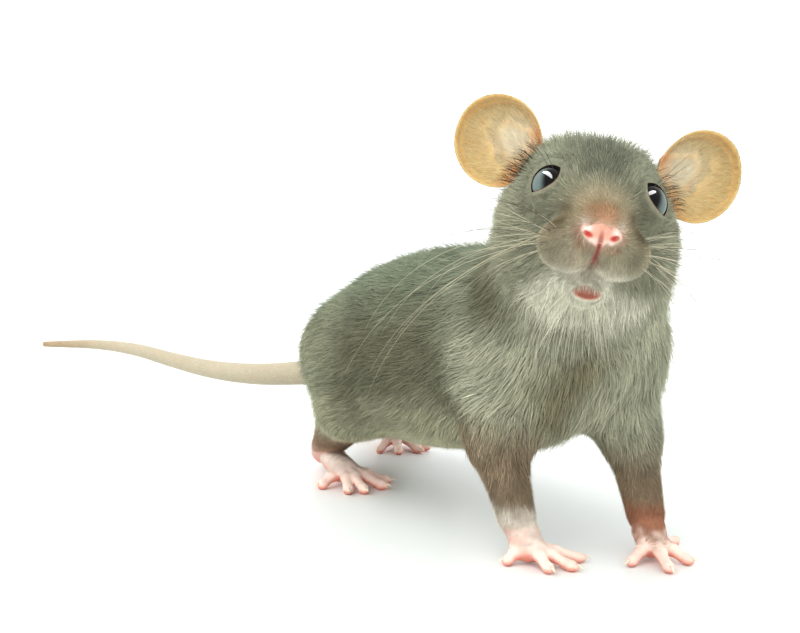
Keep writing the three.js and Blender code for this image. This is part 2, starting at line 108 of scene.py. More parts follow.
# Soft ridges in the hollow of the ear, as lines from u, w to u, w, with their height and width.
EAR_RIDGES = [
    ((0.42, -0.75), (0.22, -0.1), 0.55, 0.9), ((0.22, -0.1), (-0.12, 0.32), 0.5, 0.9),
    ((-0.5, -0.7), (-0.42, 0.1), -0.45, 1.1),
]

# Each leg: shoulder or hip, elbow or knee, wrist or heel, the ball of the foot, and the tips of its toes.
LEGS = {
    ("fore", "left"): {
        "top": vec(9, -34, 36), "middle": vec(10.8, -38.5, 21), "end": vec(7.4, -46, 7.5),
        "ball": vec(6.2, -48.8, 2.9), "tips": [(16.2, -45.6), (8.9, -55.6), (2.2, -57), (-0.9, -50.4)],
    },
    ("fore", "right"): {
        "top": vec(-14, -29, 36), "middle": vec(-15.2, -30.5, 21.5), "end": vec(-15, -36.2, 7.5),
        "ball": vec(-14.2, -38.6, 2.9), "tips": [(-18.8, -37.8), (-15.4, -45.8), (-10.8, -47.2), (-6.2, -44)],
    },
    ("hind", "left"): {
        "top": vec(9, 37, 30), "middle": vec(16.5, 39, 18.5), "end": vec(19, 74, 8.4),
        "ball": vec(21.8, 62, 3.6), "tips": [(29.4, 60), (26.6, 52.6), (23, 50.8), (17, 52.4), (13.4, 57)],
    },
    ("hind", "right"): {
        "top": vec(-8, 34, 31), "middle": vec(-15.2, 22.5, 21), "end": vec(-8.6, 47, 5.2),
        "ball": vec(-12.2, 31, 3.6),
        "tips": [(-19.2, 30), (-16.4, 21.9), (-13.1, 20), (-7, 21.2), (-3.4, 25.4)],
    },
}
# Radii and blends of the legs; `near` is where the short hair starts, and `depths` are the coat's on it.
GIRTH = {
    "fore": {
        "upper": (9.6, 5.8), "lower": (5.2, 3.4), "bend": 4, "join": 7,
        "near_top": 0.5, "near_radius": 7.6, "near": (0.5, 6),
        "heights": (7, 10, 16, 24, 34), "depths": (0.3, 0.45, 0.8, 1.5, 2.8),
    },
    "hind": {
        "upper": (13, 8.3), "lower": (6.5, 3.6), "bend": 5, "join": 6,
        "near_top": 0, "near_radius": 11, "near": (0, 5),
        "heights": (6, 9, 13, 20, 28), "depths": (0.3, 0.45, 0.9, 1.8, 2.8),
    },
}
# Radii of the feet; `up` is where a foot's bare shank starts, as a share of the way up to the elbow or knee.
FOOT = {
    "fore": {
        "toe": 1.15, "knuckle": 1.8, "up": 0.55, "sole_up": 0.25, "shank_end": 1 / 2,
        "sole": (2.0, 2.6, 2.85, 2.7), "shank": (3.3, 2.75, 2.2),
    },
    "hind": {
        "toe": 1.35, "knuckle": 2.1, "up": 0.5, "sole_up": 0.2, "shank_end": 1 / 3,
        "sole": (2.1, 2.65, 2.85, 3.0), "shank": (4.0, 2.8, 2.3),
    },
}
FOOT_TOP = {("fore", "left"): 7.0, ("fore", "right"): 8.5, ("hind", "left"): 11.0, ("hind", "right"): 9.5}
CLAW_LENGTH = 1.0

TAIL_COURSE = [
    vec(0.5, 44, 25.5), vec(-7, 58, 23.5), vec(-14.8, 73, 22), vec(-20.5, 91, 21.8),
    vec(-25.7, 106, 23.2), vec(-31.6, 121, 25.2), vec(-38, 137, 25.7), vec(-49, 158, 24.7),
]
TAIL_ROOT, TAIL_TIP = 3.4, 0.8
TAIL_START = 0.13  # the share of the tail that grows out of the rump in one piece with it
TAIL_RING = 1.0  # from one ring of scales to the next

BODY_CELL, FOOT_CELL = 0.84, 0.4
BODY_BOX = (-34, -80, 0.3), (32, 84, 84)
CHUNK = 60000  # points worked on at a time


# ---------------------------------------------------------------- the head's and the ears' own frames

def turn_about_z(angle):
    c, s = math.cos(angle), math.sin(angle)
    return np.array([[c, -s, 0], [s, c, 0], [0, 0, 1]])


def turn_about_y(angle):
    c, s = math.cos(angle), math.sin(angle)
    return np.array([[c, 0, s], [0, 1, 0], [-s, 0, c]])


SOLID_TURN = turn_about_z(HEAD_YAW) @ turn_about_y(HEAD_ROLL)
HEAD_TURN = turn_about_z(HEAD_YAW + FACE_TURN) @ turn_about_y(HEAD_ROLL)
HEAD_AT = SOLID_HEAD_AT + FACE_SHIFT @ SOLID_TURN.T
EAR_TURN = turn_about_z(EAR_SWING) @ turn_about_y(EAR_LEAN)


def to_head(p):
    return (p - HEAD_AT) @ HEAD_TURN


def from_head(p):
    return p @ HEAD_TURN.T + HEAD_AT


def folded(h):
    """Points of the head's frame with its right half folded on to its left."""
    m = h.copy()
    m[:, 0] = np.abs(h[:, 0])
    return m


def mirrored_head(p):
    return folded(to_head(p))


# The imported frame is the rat's frame moved so that its origin is under the middle of the CAD box.
eye_low, eye_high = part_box("eye_right")
ORIGIN = SOLID_EYE_AT @ SOLID_TURN.T + SOLID_HEAD_AT - (np.array(eye_low) + np.array(eye_high)) * 500


def placed(p):
    """Points of the rat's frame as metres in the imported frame."""
    return (np.asarray(p) - ORIGIN) * 0.001


# ---------------------------------------------------------------- distance fields

def ramp(x, low, high):
    """0 below low, 1 above high, with a smooth rise between."""
    t = np.clip((x - low) / (high - low), 0, 1)
    return t * t * (3 - 2 * t)


def fall(x, low, high):
    """1 below low, 0 above high."""
    return 1 - ramp(x, low, high)


def distance(p, at=0):
    return np.sqrt(((p - np.asarray(at)) ** 2).sum(1))


def unit(v):
    return v / np.maximum(np.linalg.norm(v, axis=1), 1e-9)[:, None]


def smooth_min(a, b, blend):
    h = np.maximum(blend - np.abs(a - b), 0) / blend
    return np.minimum(a, b) - h * h * blend / 4


def smooth_max(a, b, blend):
    return -smooth_min(-a, -b, blend)


def ellipsoid(p, centre, radii):
    q = p - centre
    scaled = np.sqrt(((q / radii) ** 2).sum(1))
    slope = np.sqrt(((q / np.square(radii)) ** 2).sum(1))
    return scaled * (scaled - 1) / np.maximum(slope, 1e-6)


def capsule(p, a, b, ra, rb):
    """A limb segment from a to b whose radius runs from ra to rb."""
    along = b - a
    t = np.clip((p - a) @ along / (along @ along), 0, 1)
    return distance(p - a, t[:, None] * along) - (ra + (rb - ra) * t)


def chain_shape(p, points, radii, blend=None):
    """A row of capsules, run together by `blend` if it is given."""
    join = np.minimum if blend is None else lambda a, b: smooth_min(a, b, blend)
    parts = [capsule(p, *ends) for ends in zip(points, points[1:], radii, radii[1:])]
    d = parts[0]
    for part in parts[1:]:
        d = join(d, part)
    return d


def curve_points(points, count):
    """Points at equal steps of the index on a centripetal Catmull-Rom curve."""
    points = [np.asarray(q, float) for q in points]
    whole = [2 * points[0] - points[1], *points, 2 * points[-1] - points[-2]]
    found = []
    for t in np.linspace(0, len(points) - 1, count):
        i = min(int(t), len(points) - 2)
        w = t - i
        a, b, c, d = whole[i:i + 4]
        s0, s1, s2 = (max(np.linalg.norm(v - u) ** 0.5, 1e-6) for u, v in ((a, b), (b, c), (c, d)))
        m1 = ((b - a) / s0 - (c - a) / (s0 + s1) + (c - b) / s1) * s1
        m2 = ((c - b) / s1 - (d - b) / (s1 + s2) + (d - c) / s2) * s1
        found.append(b + m1 * w + (3 * c - 3 * b - 2 * m1 - m2) * w ** 2 + (2 * b - 2 * c + m1 + m2) * w ** 3)
    return np.array(found)


SPINE_AT = curve_points([at for at, _ in SPINE], SPINE_STEPS + 1)
SPINE_GIRTH = curve_points([(i, r, 0) for i, (_, r) in enumerate(SPINE)], SPINE_STEPS + 1)[:, 1]
TAIL_AT = curve_points(TAIL_COURSE, 240)
TAIL_RUN = np.concatenate([[0], np.cumsum(np.linalg.norm(np.diff(TAIL_AT, axis=0), axis=1))])


# ---------------------------------------------------------------- the outline of the coat, and its depth

def head_shape(h):
    """The head's outline in its own frame, out to the tips of its hair."""
    m = folded(h)
    crown = m.copy()
    crown[:, 0] = np.maximum(np.abs(h[:, 0] + CROWN_SHIFT) - CROWN_FLAT, 0)
    d = smooth_min(ellipsoid(crown, *CROWN), capsule(h, *SNOUT), 5)
    d = smooth_min(d, ellipsoid(m, *CHEEK), 4)
    d = smooth_min(d, ellipsoid(m, *PAD), 2.5)
    d = smooth_min(d, ellipsoid(m, *BROW), 3)
    d = smooth_min(d, capsule(h, *JAW), 3)
    return smooth_min(d, ellipsoid(h, *NOSE_END), 1.6)


def trunk_shape(p):
    d = chain_shape(p, SPINE_AT, SPINE_GIRTH)
    d = smooth_min(d, capsule(p, *BRISKET), 6)
    return smooth_min(d, ellipsoid(p, *LEFT_CHEST), 4)


def leg_shape(p, name, leg):
    girth = GIRTH[name]
    upper = capsule(p, leg["top"], leg["middle"], *girth["upper"])
    return smooth_min(upper, capsule(p, leg["middle"], leg["end"], *girth["lower"]), girth["bend"])


def leg_nearness(p, name):
    """1 on the fore or the hind legs, falling to 0 a few millimetres away."""
    girth = GIRTH[name]
    near_legs = np.zeros(len(p))
    for side in SIDES:
        leg = LEGS[name, side]
        top = leg["top"] + (leg["middle"] - leg["top"]) * girth["near_top"]
        upper = capsule(p, top, leg["middle"], girth["near_radius"], girth["upper"][1])
        d = np.minimum(upper, capsule(p, leg["middle"], leg["end"], *girth["lower"]))
        near_legs = np.maximum(near_legs, fall(d, *girth["near"]))
    return near_legs


def body_shape(p):
    """The outline of the furred body, out to the tips of the coat."""
    d = trunk_shape(p)
    for side in SIDES:
        for name in GIRTH:
            d = smooth_min(d, leg_shape(p, name, LEGS[name, side]), GIRTH[name]["join"])
    return smooth_min(d, head_shape(to_head(p)), 7)


def coat_depth(p):
    """How far the skin lies under the tips of the coat."""
    h = to_head(p)
    face = 0.35 + 1.05 * ramp(h[:, 1], -20, -5) + 1.2 * ramp(h[:, 1], 2, 16)
    face = face + 0.9 * ramp(h[:, 2], 4, 9) * ramp(h[:, 1], -13, -5)
    lid = distance(folded(h), EYE_AT) - EYE_RADIUS
    face = np.minimum(face, 0.28 + 0.4 * np.maximum(lid - 0.5, 0))
    far = ramp(distance(h, (0, -6, -3)), 20, 32)
    belly = ramp(-p[:, 2], -24, -15) * ramp(p[:, 1], -26, -16) * fall(p[:, 1], 20, 34)
    depth = face * (1 - far) + (2.8 - 1.8 * belly) * far
    for name, girth in GIRTH.items():
        close = leg_nearness(p, name)
        on_leg = np.interp(p[:, 2], girth["heights"], girth["depths"])
        depth = depth * (1 - close) + np.minimum(depth, on_leg) * close
    return depth


# ---------------------------------------------------------------- the head's details

def in_eye(h):
    q = h - EYE_AT
    return q @ SLIT_ALONG, q @ SLIT_ACROSS, q @ EYE_OUT


def slit_edge(h):
    """Below 0 inside the opening between the lids, seen straight on; about the distance to it outside."""
    along, across, out = in_eye(h)
    depth = np.maximum(out + SLIT_FOCUS, 0.4)
    run = np.clip(along / depth / SLIT_HALF[0], -1.5, 1.5)
    half = SLIT_HALF[1] * (1 - np.abs(run) ** 2.3) * (1 - 0.25 * run)
    return np.where(out > -1.5, (np.abs(across) / depth - half) * depth * 0.8, 9.0)


def cleft_gap(m):
    """The distance sideways from the groove that runs down from the nose over the front of the muzzle."""
    over = [m[:, 2] - CLEFT_TOP, CLEFT_END - m[:, 2], m[:, 1] - CLEFT_FRONT, np.zeros(len(m))]
    return np.hypot(m[:, 0], np.maximum.reduce(over))


def add_face(p, d, fine=True):
    """Cuts and builds the lids, the nose, the lip and the mouth on the skin's distance d."""
    h = to_head(p)
    close = (h[:, 1] < 0) & (np.abs(d) < 6)
    if not close.any():
        return d
    whole, e = h[close], d[close]
    q = folded(whole)
    ball = distance(q, EYE_AT)
    slit = slit_edge(q)
    e = smooth_max(e, -np.maximum(slit - 0.9, EYE_RADIUS + LID_THICKNESS - ball), 1.0)
    e = smooth_min(e, ball - EYE_RADIUS - LID_THICKNESS, 0.9)
    e = smooth_min(e, smooth_min(ellipsoid(q, *NOSE_BULGE), ellipsoid(q, *NOSE_LOBE), 0.35), 0.9)
    e = smooth_min(e, ellipsoid(whole, *CHIN), 1.4)
    e = smooth_max(e, -ellipsoid(whole, MOUTH_AT - (0, 0.9, 0), MOUTH_HALF), 0.5)
    if fine:
        e = smooth_max(e, -capsule(q, *NOSTRIL), 0.3)
        e = smooth_max(e, -capsule(q, *PHILTRUM, 0.32, 0.32), 0.5)
        e = e + 0.35 * fall(cleft_gap(q), 0.05, 0.45)
        e = smooth_max(e, -np.maximum(slit, EYE_RADIUS - LID_TUCK - ball), 0.2)
        lid_fold = np.maximum(np.abs(slit - 1.3) - 0.15, ball - EYE_RADIUS - 1.6)
        e = e + 0.1 * fall(lid_fold, 0, 0.5) * (ball < EYE_RADIUS + 2)
    d = d.copy()
    d[close] = e
    return d


# ---------------------------------------------------------------- feet

def digit_course(knuckle, tip, radius):
    """Points and radii along one digit, from its knuckle over its arch to its pad."""
    shares = np.array([0, 0.2, 0.38, 0.55, 0.72, 0.88, 1.0])
    points = knuckle + (vec(*tip, 0) - knuckle) * shares[:, None]
    arch = [knuckle[2], max(knuckle[2] * 0.85, radius * 1.7), radius * 1.1, radius * 0.78]
    points[:, 2] = np.interp(shares, [0, 0.35, 0.72, 1], arch)
    swell = np.array([1.12, 0.98, 1.06, 0.86, 0.9, 0.98, 0.72])
    return points, swell * radius * np.array([1.1, 1.05, 1.0, 0.95, 0.9, 0.85, 0.8])


def foot_parts(name, side):
    """The chains of balls that make one foot: its digits, its palm or sole, and the shank above."""
    leg, size = LEGS[name, side], FOOT[name]
    ball, end = leg["ball"], leg["end"]
    digits = []
    for i, tip in enumerate(leg["tips"]):
        toward = vec(*tip, 0) - ball * (1, 1, 0)
        knuckle = ball + toward / np.linalg.norm(toward) * size["knuckle"]
        knuckle[2] = ball[2] - 0.25 * abs(i - (len(leg["tips"]) - 1) / 2)
        digits.append(digit_course(knuckle, tip, size["toe"]))
    up = end + (leg["middle"] - end) * size["up"]
    sole = np.array([end + (up - end) * size["sole_up"], end, (end + ball) / 2, ball])
    shank = np.array([up, end, end + (ball - end) * size["shank_end"]])
    return digits, (sole, np.array(size["sole"])), (shank, np.array(size["shank"]))


FEET = {foot: foot_parts(*foot) for foot in LEGS}


def foot_shape(p, foot):
    digits, sole, _ = FEET[foot]
    toes = None
    for points, radii in digits:
        toe = chain_shape(p, points, radii, 0.25)
        toes = toe if toes is None else smooth_min(toes, toe, 0.35)
        pad = points[-2] * (1, 1, 0) + (0, 0, 0.9)
        toes = smooth_min(toes, distance(p, pad) - radii[-2] * 1.02, 0.3)
    d = smooth_min(chain_shape(p, *sole, 1.0), toes, 1.1)
    return smooth_max(d, 0.04 - p[:, 2], 0.25)


# ---------------------------------------------------------------- the whole skin

def tail_point(share):
    run = share * TAIL_RUN[-1]
    return np.array([np.interp(run, TAIL_RUN, TAIL_AT[:, i]) for i in range(3)])


def tail_radius(share):
    return TAIL_TIP + (TAIL_ROOT - TAIL_TIP) * (1 - share) ** 0.85


def tail_root_shape(p):
    shares = np.linspace(0, TAIL_START, 5)
    at = [tail_point(s) for s in shares]
    return chain_shape(p, at, [tail_radius(s) * (1 + 0.5 * (1 - s / TAIL_START)) for s in shares])


def skin_shape(p, fine=True):
    d = body_shape(p) + coat_depth(p)
    shanks = np.minimum.reduce([chain_shape(p, *shank, 1.0) for _, _, shank in FEET.values()])
    d = smooth_min(smooth_min(d, shanks, 1.5), tail_root_shape(p), 5)
    return add_face(p, d, fine)


def plain_skin_shape(p):
    """The skin without its thinnest grooves, which a coarse net can't carry."""
    return skin_shape(p, fine=False)


# ---------------------------------------------------------------- meshes from fields

CORNERS = [(i, j, k) for i in (0, 1) for j in (0, 1) for k in (0, 1)]
SLOPE_STEP = 0.03


def in_chunks(field, *arrays):
    """The field's values, worked out for some of the points at a time."""
    starts = range(0, len(arrays[0]), CHUNK)
    return np.concatenate([field(*(a[i:i + CHUNK] for a in arrays)) for i in starts])


def corner_of(grid, c):
    """The grid's values at one corner of each of its cells."""
    return grid[tuple(slice(c[i], grid.shape[i] - 1 + c[i]) for i in range(3))]


def repeated(grid, times):
    for axis in range(3):
        grid = grid.repeat(times, axis)
    return grid


def sampled(field, low, high, cell, coarse=4):
    """The field's values on a grid, worked out finely only near its surface."""
    counts = np.ceil((np.asarray(high) - low) / (cell * coarse)).astype(int) * coarse + 1
    axes = [(low[i] + cell * np.arange(counts[i]))[::coarse] for i in range(3)]
    rough = np.stack(np.meshgrid(*axes, indexing="ij"), -1)
    values = in_chunks(field, rough.reshape(-1, 3)).reshape(rough.shape[:3])
    close = np.abs(values) < cell * coarse * 1.9 + 1.0
    whole = repeated(np.logical_or.reduce([corner_of(close, c) for c in CORNERS]), coarse)
    fine = np.zeros(counts, bool)
    fine[:-1, :-1, :-1] = whole
    fine[1:, 1:, 1:] |= whole
    values = np.pad(repeated(values[:-1, :-1, :-1], coarse), ((0, 1),) * 3, mode="edge")
    values[fine] = in_chunks(field, np.argwhere(fine) * cell + low)
    for axis in range(3):
        for end in (0, -1):
            wall = values.swapaxes(0, axis)[end]
            np.maximum(wall, cell * 0.5, out=wall)
    return values


def net_quads(inside, index, axis):
    """A quad for each edge of the grid along one axis that goes through the surface."""
    a = [slice(1, s - 1) for s in inside.shape]
    b = list(a)
    a[axis], b[axis] = slice(0, -1), slice(1, None)
    edges = np.argwhere(inside[tuple(a)] != inside[tuple(b)]) + 1
    edges[:, axis] -= 1
    outward = inside[tuple(edges.T)]
    around = []
    for du, dv in ((-1, -1), (0, -1), (0, 0), (-1, 0)):
        cell_at = edges.copy()
        cell_at[:, (axis + 1) % 3] += du
        cell_at[:, (axis + 2) % 3] += dv
        around.append(index[tuple(cell_at.T)])
    quad = np.stack(around, 1)
    quad[~outward] = quad[~outward][:, ::-1]
    return quad


def surface_net(field, low, high, cell):
    """The surface where a field is 0, as points and triangles that face outwards."""
    low = np.asarray(low, float)
    values = sampled(field, low, high, cell)
    inside = values < 0
    total = sum(corner_of(inside, c).astype(np.int8) for c in CORNERS)
    active = (total > 0) & (total < 8)
    index = np.full(active.shape, -1)
    index[active] = np.arange(active.sum())
    held = np.array([corner_of(values, c)[active] for c in CORNERS])
    sums, counts = np.zeros((active.sum(), 3)), np.zeros(active.sum())
    for m, c in enumerate(CORNERS):
        for axis in range(3):
            if c[axis]:
                continue
            a, b = held[m], held[m + (4, 2, 1)[axis]]
            cross = (a < 0) != (b < 0)
            t = a / np.where(cross, a - b, 1)
            for i in range(3):
                sums[:, i] += np.where(cross, c[i] + (t if i == axis else 0), 0)
            counts += cross
    points = low + (np.argwhere(active) + sums / counts[:, None]) * cell

    quads = np.concatenate([net_quads(inside, index, axis) for axis in range(3)])
    one, other = (np.linalg.norm(points[quads[:, i]] - points[quads[:, i + 2]], axis=1) for i in (0, 1))
    cut = (one <= other)[:, None]
    first = np.where(cut, quads[:, [0, 1, 2]], quads[:, [0, 1, 3]])
    second = np.where(cut, quads[:, [0, 2, 3]], quads[:, [1, 2, 3]])
    return points, np.concatenate([first, second])


def stepped(points, field):
    """Points moved towards the surface where the field is 0, and the field's slope where they were."""
    here = in_chunks(field, points)
    shifts = np.eye(3) * SLOPE_STEP
    slope = np.stack([(in_chunks(field, points + shift) - here) / SLOPE_STEP for shift in shifts], 1)
    return points - slope * (here / np.maximum((slope ** 2).sum(1), 0.25))[:, None], slope


def settled(points, field, limit, rounds=2):
    """Moves points on to the surface where the field is 0, at most `limit` millimetres in all."""
    start = points.copy()
    for _ in range(rounds):
        points, _ = stepped(points, field)
    moved = points - start
    size = np.linalg.norm(moved, axis=1)
    return start + moved * np.minimum(1, limit / np.maximum(size, 1e-9))[:, None]


def edges_of(tris):
    return np.sort(tris[:, [0, 1, 1, 2, 2, 0]].reshape(-1, 2), axis=1)


def closed(tris):
    """True if every edge joins exactly two triangles."""
    return bool((np.unique(edges_of(tris), axis=0, return_counts=True)[1] == 2).all())


def refined(points, tris, chosen):
    """Splits the chosen triangles in four, and their neighbours so that no gap opens."""
    edges, which = np.unique(edges_of(tris), axis=0, return_inverse=True)
    which = which.reshape(-1, 3)
    split = np.zeros(len(edges), bool)
    split[which[chosen].ravel()] = True
    middle = np.full(len(edges), -1)
    middle[split] = len(points) + np.arange(split.sum())
    points = np.concatenate([points, points[edges[split]].mean(1)])
    mids = middle[which]
    count = (mids >= 0).sum(1)
    made = [tris[count == 0]]
    for turn in range(3):
        a, b, c = (tris[:, (turn + i) % 3] for i in range(3))
        p, q, r = (mids[:, (turn + i) % 3] for i in range(3))
        lone = (count == 1) & (p >= 0)
        pair = (count == 2) & (r < 0)
        made += [np.stack(t, 1)[lone] for t in ((a, p, c), (p, b, c))]
        made += [np.stack(t, 1)[pair] for t in ((p, b, q), (a, p, q), (a, q, c))]
    a, b, c = tris.T
    p, q, r = mids.T
    made += [np.stack(t, 1)[count == 3] for t in ((a, p, r), (p, b, q), (r, q, c), (p, q, r))]
    return points, np.concatenate(made)


def relaxed(points, tris, weight, rounds):
    """Evens out points by moving each towards the mean of its neighbours, by its weight."""
    ends = np.concatenate([tris[:, [0, 1]], tris[:, [1, 2]], tris[:, [2, 0]]])
    ends = np.concatenate([ends, ends[:, ::-1]])
    degree = np.bincount(ends[:, 0], minlength=len(points))
    for _ in range(rounds):
        total = np.stack([np.bincount(ends[:, 0], points[ends[:, 1], i], len(points)) for i in range(3)], 1)
        mean = total / np.maximum(degree, 1)[:, None]
        points = points + (mean - points) * weight[:, None]
    return points


def middles(points, tris):
    return points[tris].mean(1)


def vertex_normals(points, tris):
    a, b, c = (points[tris[:, i]] for i in range(3))
    face = np.cross(b - a, c - a)
    total = np.zeros_like(points)
    for i in range(3):
        for axis in range(3):
            total[:, axis] += np.bincount(tris[:, i], face[:, axis], len(points))
    return unit(total)


def face_weight(p):
    """1 where the finest skin is wanted: lids, nose, groove and mouth."""
    h = mirrored_head(p)
    eye = (distance(h, EYE_AT) < 5.2) & (in_eye(h)[2] > -0.5)
    nose = distance(h, (0, -24, -6)) < 5.0
    lip = distance(h, MOUTH_AT) < 3.6
    groove = (h[:, 0] < 1.5) & (h[:, 1] < -17) & (h[:, 2] < -6)
    return eye | nose | lip | groove


def body_net():
    """The skin of the body and head: coarse under the coat, finer on the head, finest on the face."""
    points, tris = surface_net(plain_skin_shape, *BODY_BOX, BODY_CELL)
    points = settled(points, plain_skin_shape, BODY_CELL * 0.5)
    h = to_head(middles(points, tris))
    head = (h[:, 1] < 4) & (np.abs(h[:, 0]) < 16) & (h[:, 2] > -19) & (h[:, 2] < 16)
    points, tris = refined(points, tris, head)
    points, tris = refined(points, tris, face_weight(middles(points, tris)))
    points = settled(points, plain_skin_shape, 0.4, 1)
    for _ in range(3):
        fine = face_weight(points)
        points[fine] = settled(points[fine], skin_shape, 0.5)
        points = relaxed(points, tris, fine * 0.35, 2)
    points[fine] = settled(points[fine], skin_shape, 0.4)
    return points, tris


def foot_net(foot):
    """One foot's skin; the grid is shifted until it gives a closed mesh."""
    def shape(p):
        return foot_shape(p, foot)

    digits, (sole, _), _ = FEET[foot]
    spots = np.concatenate([points for points, _ in digits] + [sole])
    for shift in np.arange(0, 1, 0.13) * FOOT_CELL:
        points, tris = surface_net(shape, spots.min(0) - 4.2 + shift, spots.max(0) + 4.2, FOOT_CELL)
        if closed(tris):
            break
    return settled(points, shape, FOOT_CELL * 0.5), tris


# ---------------------------------------------------------------- ears and tail

def line_gap(x, z, a, b):
    """The distance in a plane from points to the line from a to b."""
    ax, az = a
    bx, bz = b[0] - ax, b[1] - az
    t = np.clip(((x - ax) * bx + (z - az) * bz) / (bx * bx + bz * bz), 0, 1)
    return np.hypot(x - ax - t * bx, z - az - t * bz)


def ear_relief(u, w, share):
    """How far the hollow of the ear is pushed forward, beyond its plain cup."""
    x, z = u * EAR["width"], w * EAR["length"]
    lift = np.zeros_like(u)
    for a, b, height, reach in EAR_RIDGES:
        ends = [(u1 * EAR["width"], w1 * EAR["length"]) for u1, w1 in (a, b)]
        lift += height * np.exp(-(line_gap(x, z, *ends) / reach) ** 2)
    lift -= 1.5 * np.exp(-((x - 0.5) ** 2 + (z + 6.2) ** 2) / 9.0)
    rolled = 0.45 + 0.55 * ramp(-u, -0.2, 0.7)
    return lift + rolled * (1.15 * ramp(share, 0.86, 1.0) - 0.3 * np.exp(-((share - 0.84) / 0.06) ** 2))


def ear_points(share, angle, face):
    """Points of the left ear in the head's frame: face is -1 in the hollow and 1 on the back."""
    u, w = share * np.sin(angle), share * np.cos(angle)
    x = EAR["width"] * u - EAR["rise"]
    z = EAR["length"] * w + EAR["reach"]
    half = EAR_THICKNESS / 2 * np.sqrt(np.maximum(1 - share ** 6, 0.0)) * (1.15 - 0.35 * share)
    y = EAR["cup"] * (1 - share ** 2) - ear_relief(u, w, share) + face * half
    return np.stack([x, y, z], -1) @ EAR_TURN.T + EAR["base"]


def facing_out(points, tris):
    """Triangles turned, if need be, so that they face out of the closed mesh."""
    a, b, c = (points[tris[:, i]] for i in range(3))
    return tris[:, ::-1] if (np.cross(a, b) * c).sum() < 0 else tris


def ear_net(side):
    share = (np.arange(1, EAR_RINGS + 1) / EAR_RINGS) ** 0.8
    angle = np.arange(EAR_SPOKES) / EAR_SPOKES * 2 * np.pi
    s, a = np.meshgrid(share, angle, indexing="ij")
    front = ear_points(s, a, -1).reshape(-1, 3)
    back = ear_points(s[:-1], a[:-1], 1).reshape(-1, 3)
    ends = [ear_points(np.array([0.0]), np.array([0.0]), f) for f in (-1, 1)]
    n, rim = EAR_SPOKES, (EAR_RINGS - 1) * EAR_SPOKES
    ring = np.arange(n)
    step = (ring + 1) % n
    tris = []
    for face, offset, rings in ((0, 0, EAR_RINGS), (1, len(front), EAR_RINGS - 1)):
        middle = len(front) + len(back) + face
        grids = [np.stack([np.full(n, middle), offset + step, offset + ring], 1)]
        for r in range(EAR_RINGS - 1):
            inner = offset + r * n
            outer = inner + n if r + 1 < rings else rim
            grids.append(np.stack([inner + ring, inner + step, outer + step], 1))
            grids.append(np.stack([inner + ring, outer + step, outer + ring], 1))
        grid = np.concatenate(grids)
        tris.append(grid if face == 0 else grid[:, ::-1])
    points = from_head(np.concatenate([front, back, *ends]) * (SIDES[side], 1, 1))
    tris = np.concatenate(tris)[:, ::SIDES[side]]
    return points, facing_out(points, tris)


def swept(course, radii, sides, flat=1.0):
    """A tube along a course, closed at both ends."""
    course, radii = np.asarray(course, float), np.asarray(radii, float)
    along = np.gradient(course, axis=0)
    along /= np.linalg.norm(along, axis=1)[:, None]
    across = np.cross(along, (0, 0, 1.0))
    across /= np.maximum(np.linalg.norm(across, axis=1), 1e-6)[:, None]
    up = np.cross(across, along)
    angle = np.arange(sides) / sides * 2 * np.pi
    ring = across[:, None] * np.cos(angle)[None, :, None] + up[:, None] * np.sin(angle)[None, :, None] * flat
    points = (course[:, None] + ring * radii[:, None, None]).reshape(-1, 3)
    points = np.concatenate([points, course[:1], course[-1:]])
    i = np.arange(sides)
    j = (i + 1) % sides
    tris = []
    for r in range(len(course) - 1):
        a, b = r * sides, (r + 1) * sides
        tris += [np.stack([a + i, b + j, a + j], 1), np.stack([a + i, b + i, b + j], 1)]
    last = (len(course) - 1) * sides
    tris.append(np.stack([np.full(sides, len(points) - 2), i, j], 1))
    tris.append(np.stack([np.full(sides, len(points) - 1), last + j, last + i], 1))
    return points, facing_out(points, np.concatenate(tris))


def tail_net():
    start = TAIL_START * 0.6
    runs = np.arange(start * TAIL_RUN[-1], TAIL_RUN[-1], TAIL_RING / 3)
    shares = np.append(runs / TAIL_RUN[-1], [0.997, 1.0])
    course = np.array([tail_point(s) for s in shares])
    course[-1] += (course[-1] - course[-2]) * 0.5
    ripple = 1 + 0.022 * np.cos(np.arange(len(shares)) * 2 * np.pi / 3)
    dive = 1 - 0.35 * fall(shares, start, TAIL_START * 0.85)
    radii = tail_radius(shares) * ripple * dive
    radii[-2:] *= (0.85, 0.45)
    return swept(course, radii, 14)


# ---------------------------------------------------------------- meshes in Blender

def single(values):
    """Numbers as Blender's own kind, in one row."""
    return np.asarray(values, np.float32).ravel()


def linked(thing):
    bpy.context.scene.collection.objects.link(thing)
    return thing


def mesh_object(name, points, tris):
    """A new object from points in the rat's frame and its triangles."""
    mesh = bpy.data.meshes.new(name)
    mesh.vertices.add(len(points))
    mesh.vertices.foreach_set("co", single(placed(points)))
    mesh.loops.add(len(tris) * 3)
    mesh.loops.foreach_set("vertex_index", np.asarray(tris, np.int32).ravel())
    mesh.polygons.add(len(tris))
    mesh.polygons.foreach_set("loop_start", np.arange(0, len(tris) * 3, 3, dtype=np.int32))
    mesh.polygons.foreach_set("loop_total", np.full(len(tris), 3, np.int32))
    mesh.update(calc_edges=True)
    mesh.validate()
    mesh.shade_smooth()
    return linked(bpy.data.objects.new(name, mesh))


def joined(base, others):
    """The union of closed meshes, as one."""
    for other in others:
        cut = base.modifiers.new("join", "BOOLEAN")
        cut.operation, cut.solver, cut.object = "UNION", "MANIFOLD", other
        bpy.context.view_layer.objects.active = base
        bpy.ops.object.modifier_apply(modifier=cut.name)
        bpy.data.objects.remove(other)
    base.data.materials.clear()  # the union leaves an empty slot
    return base


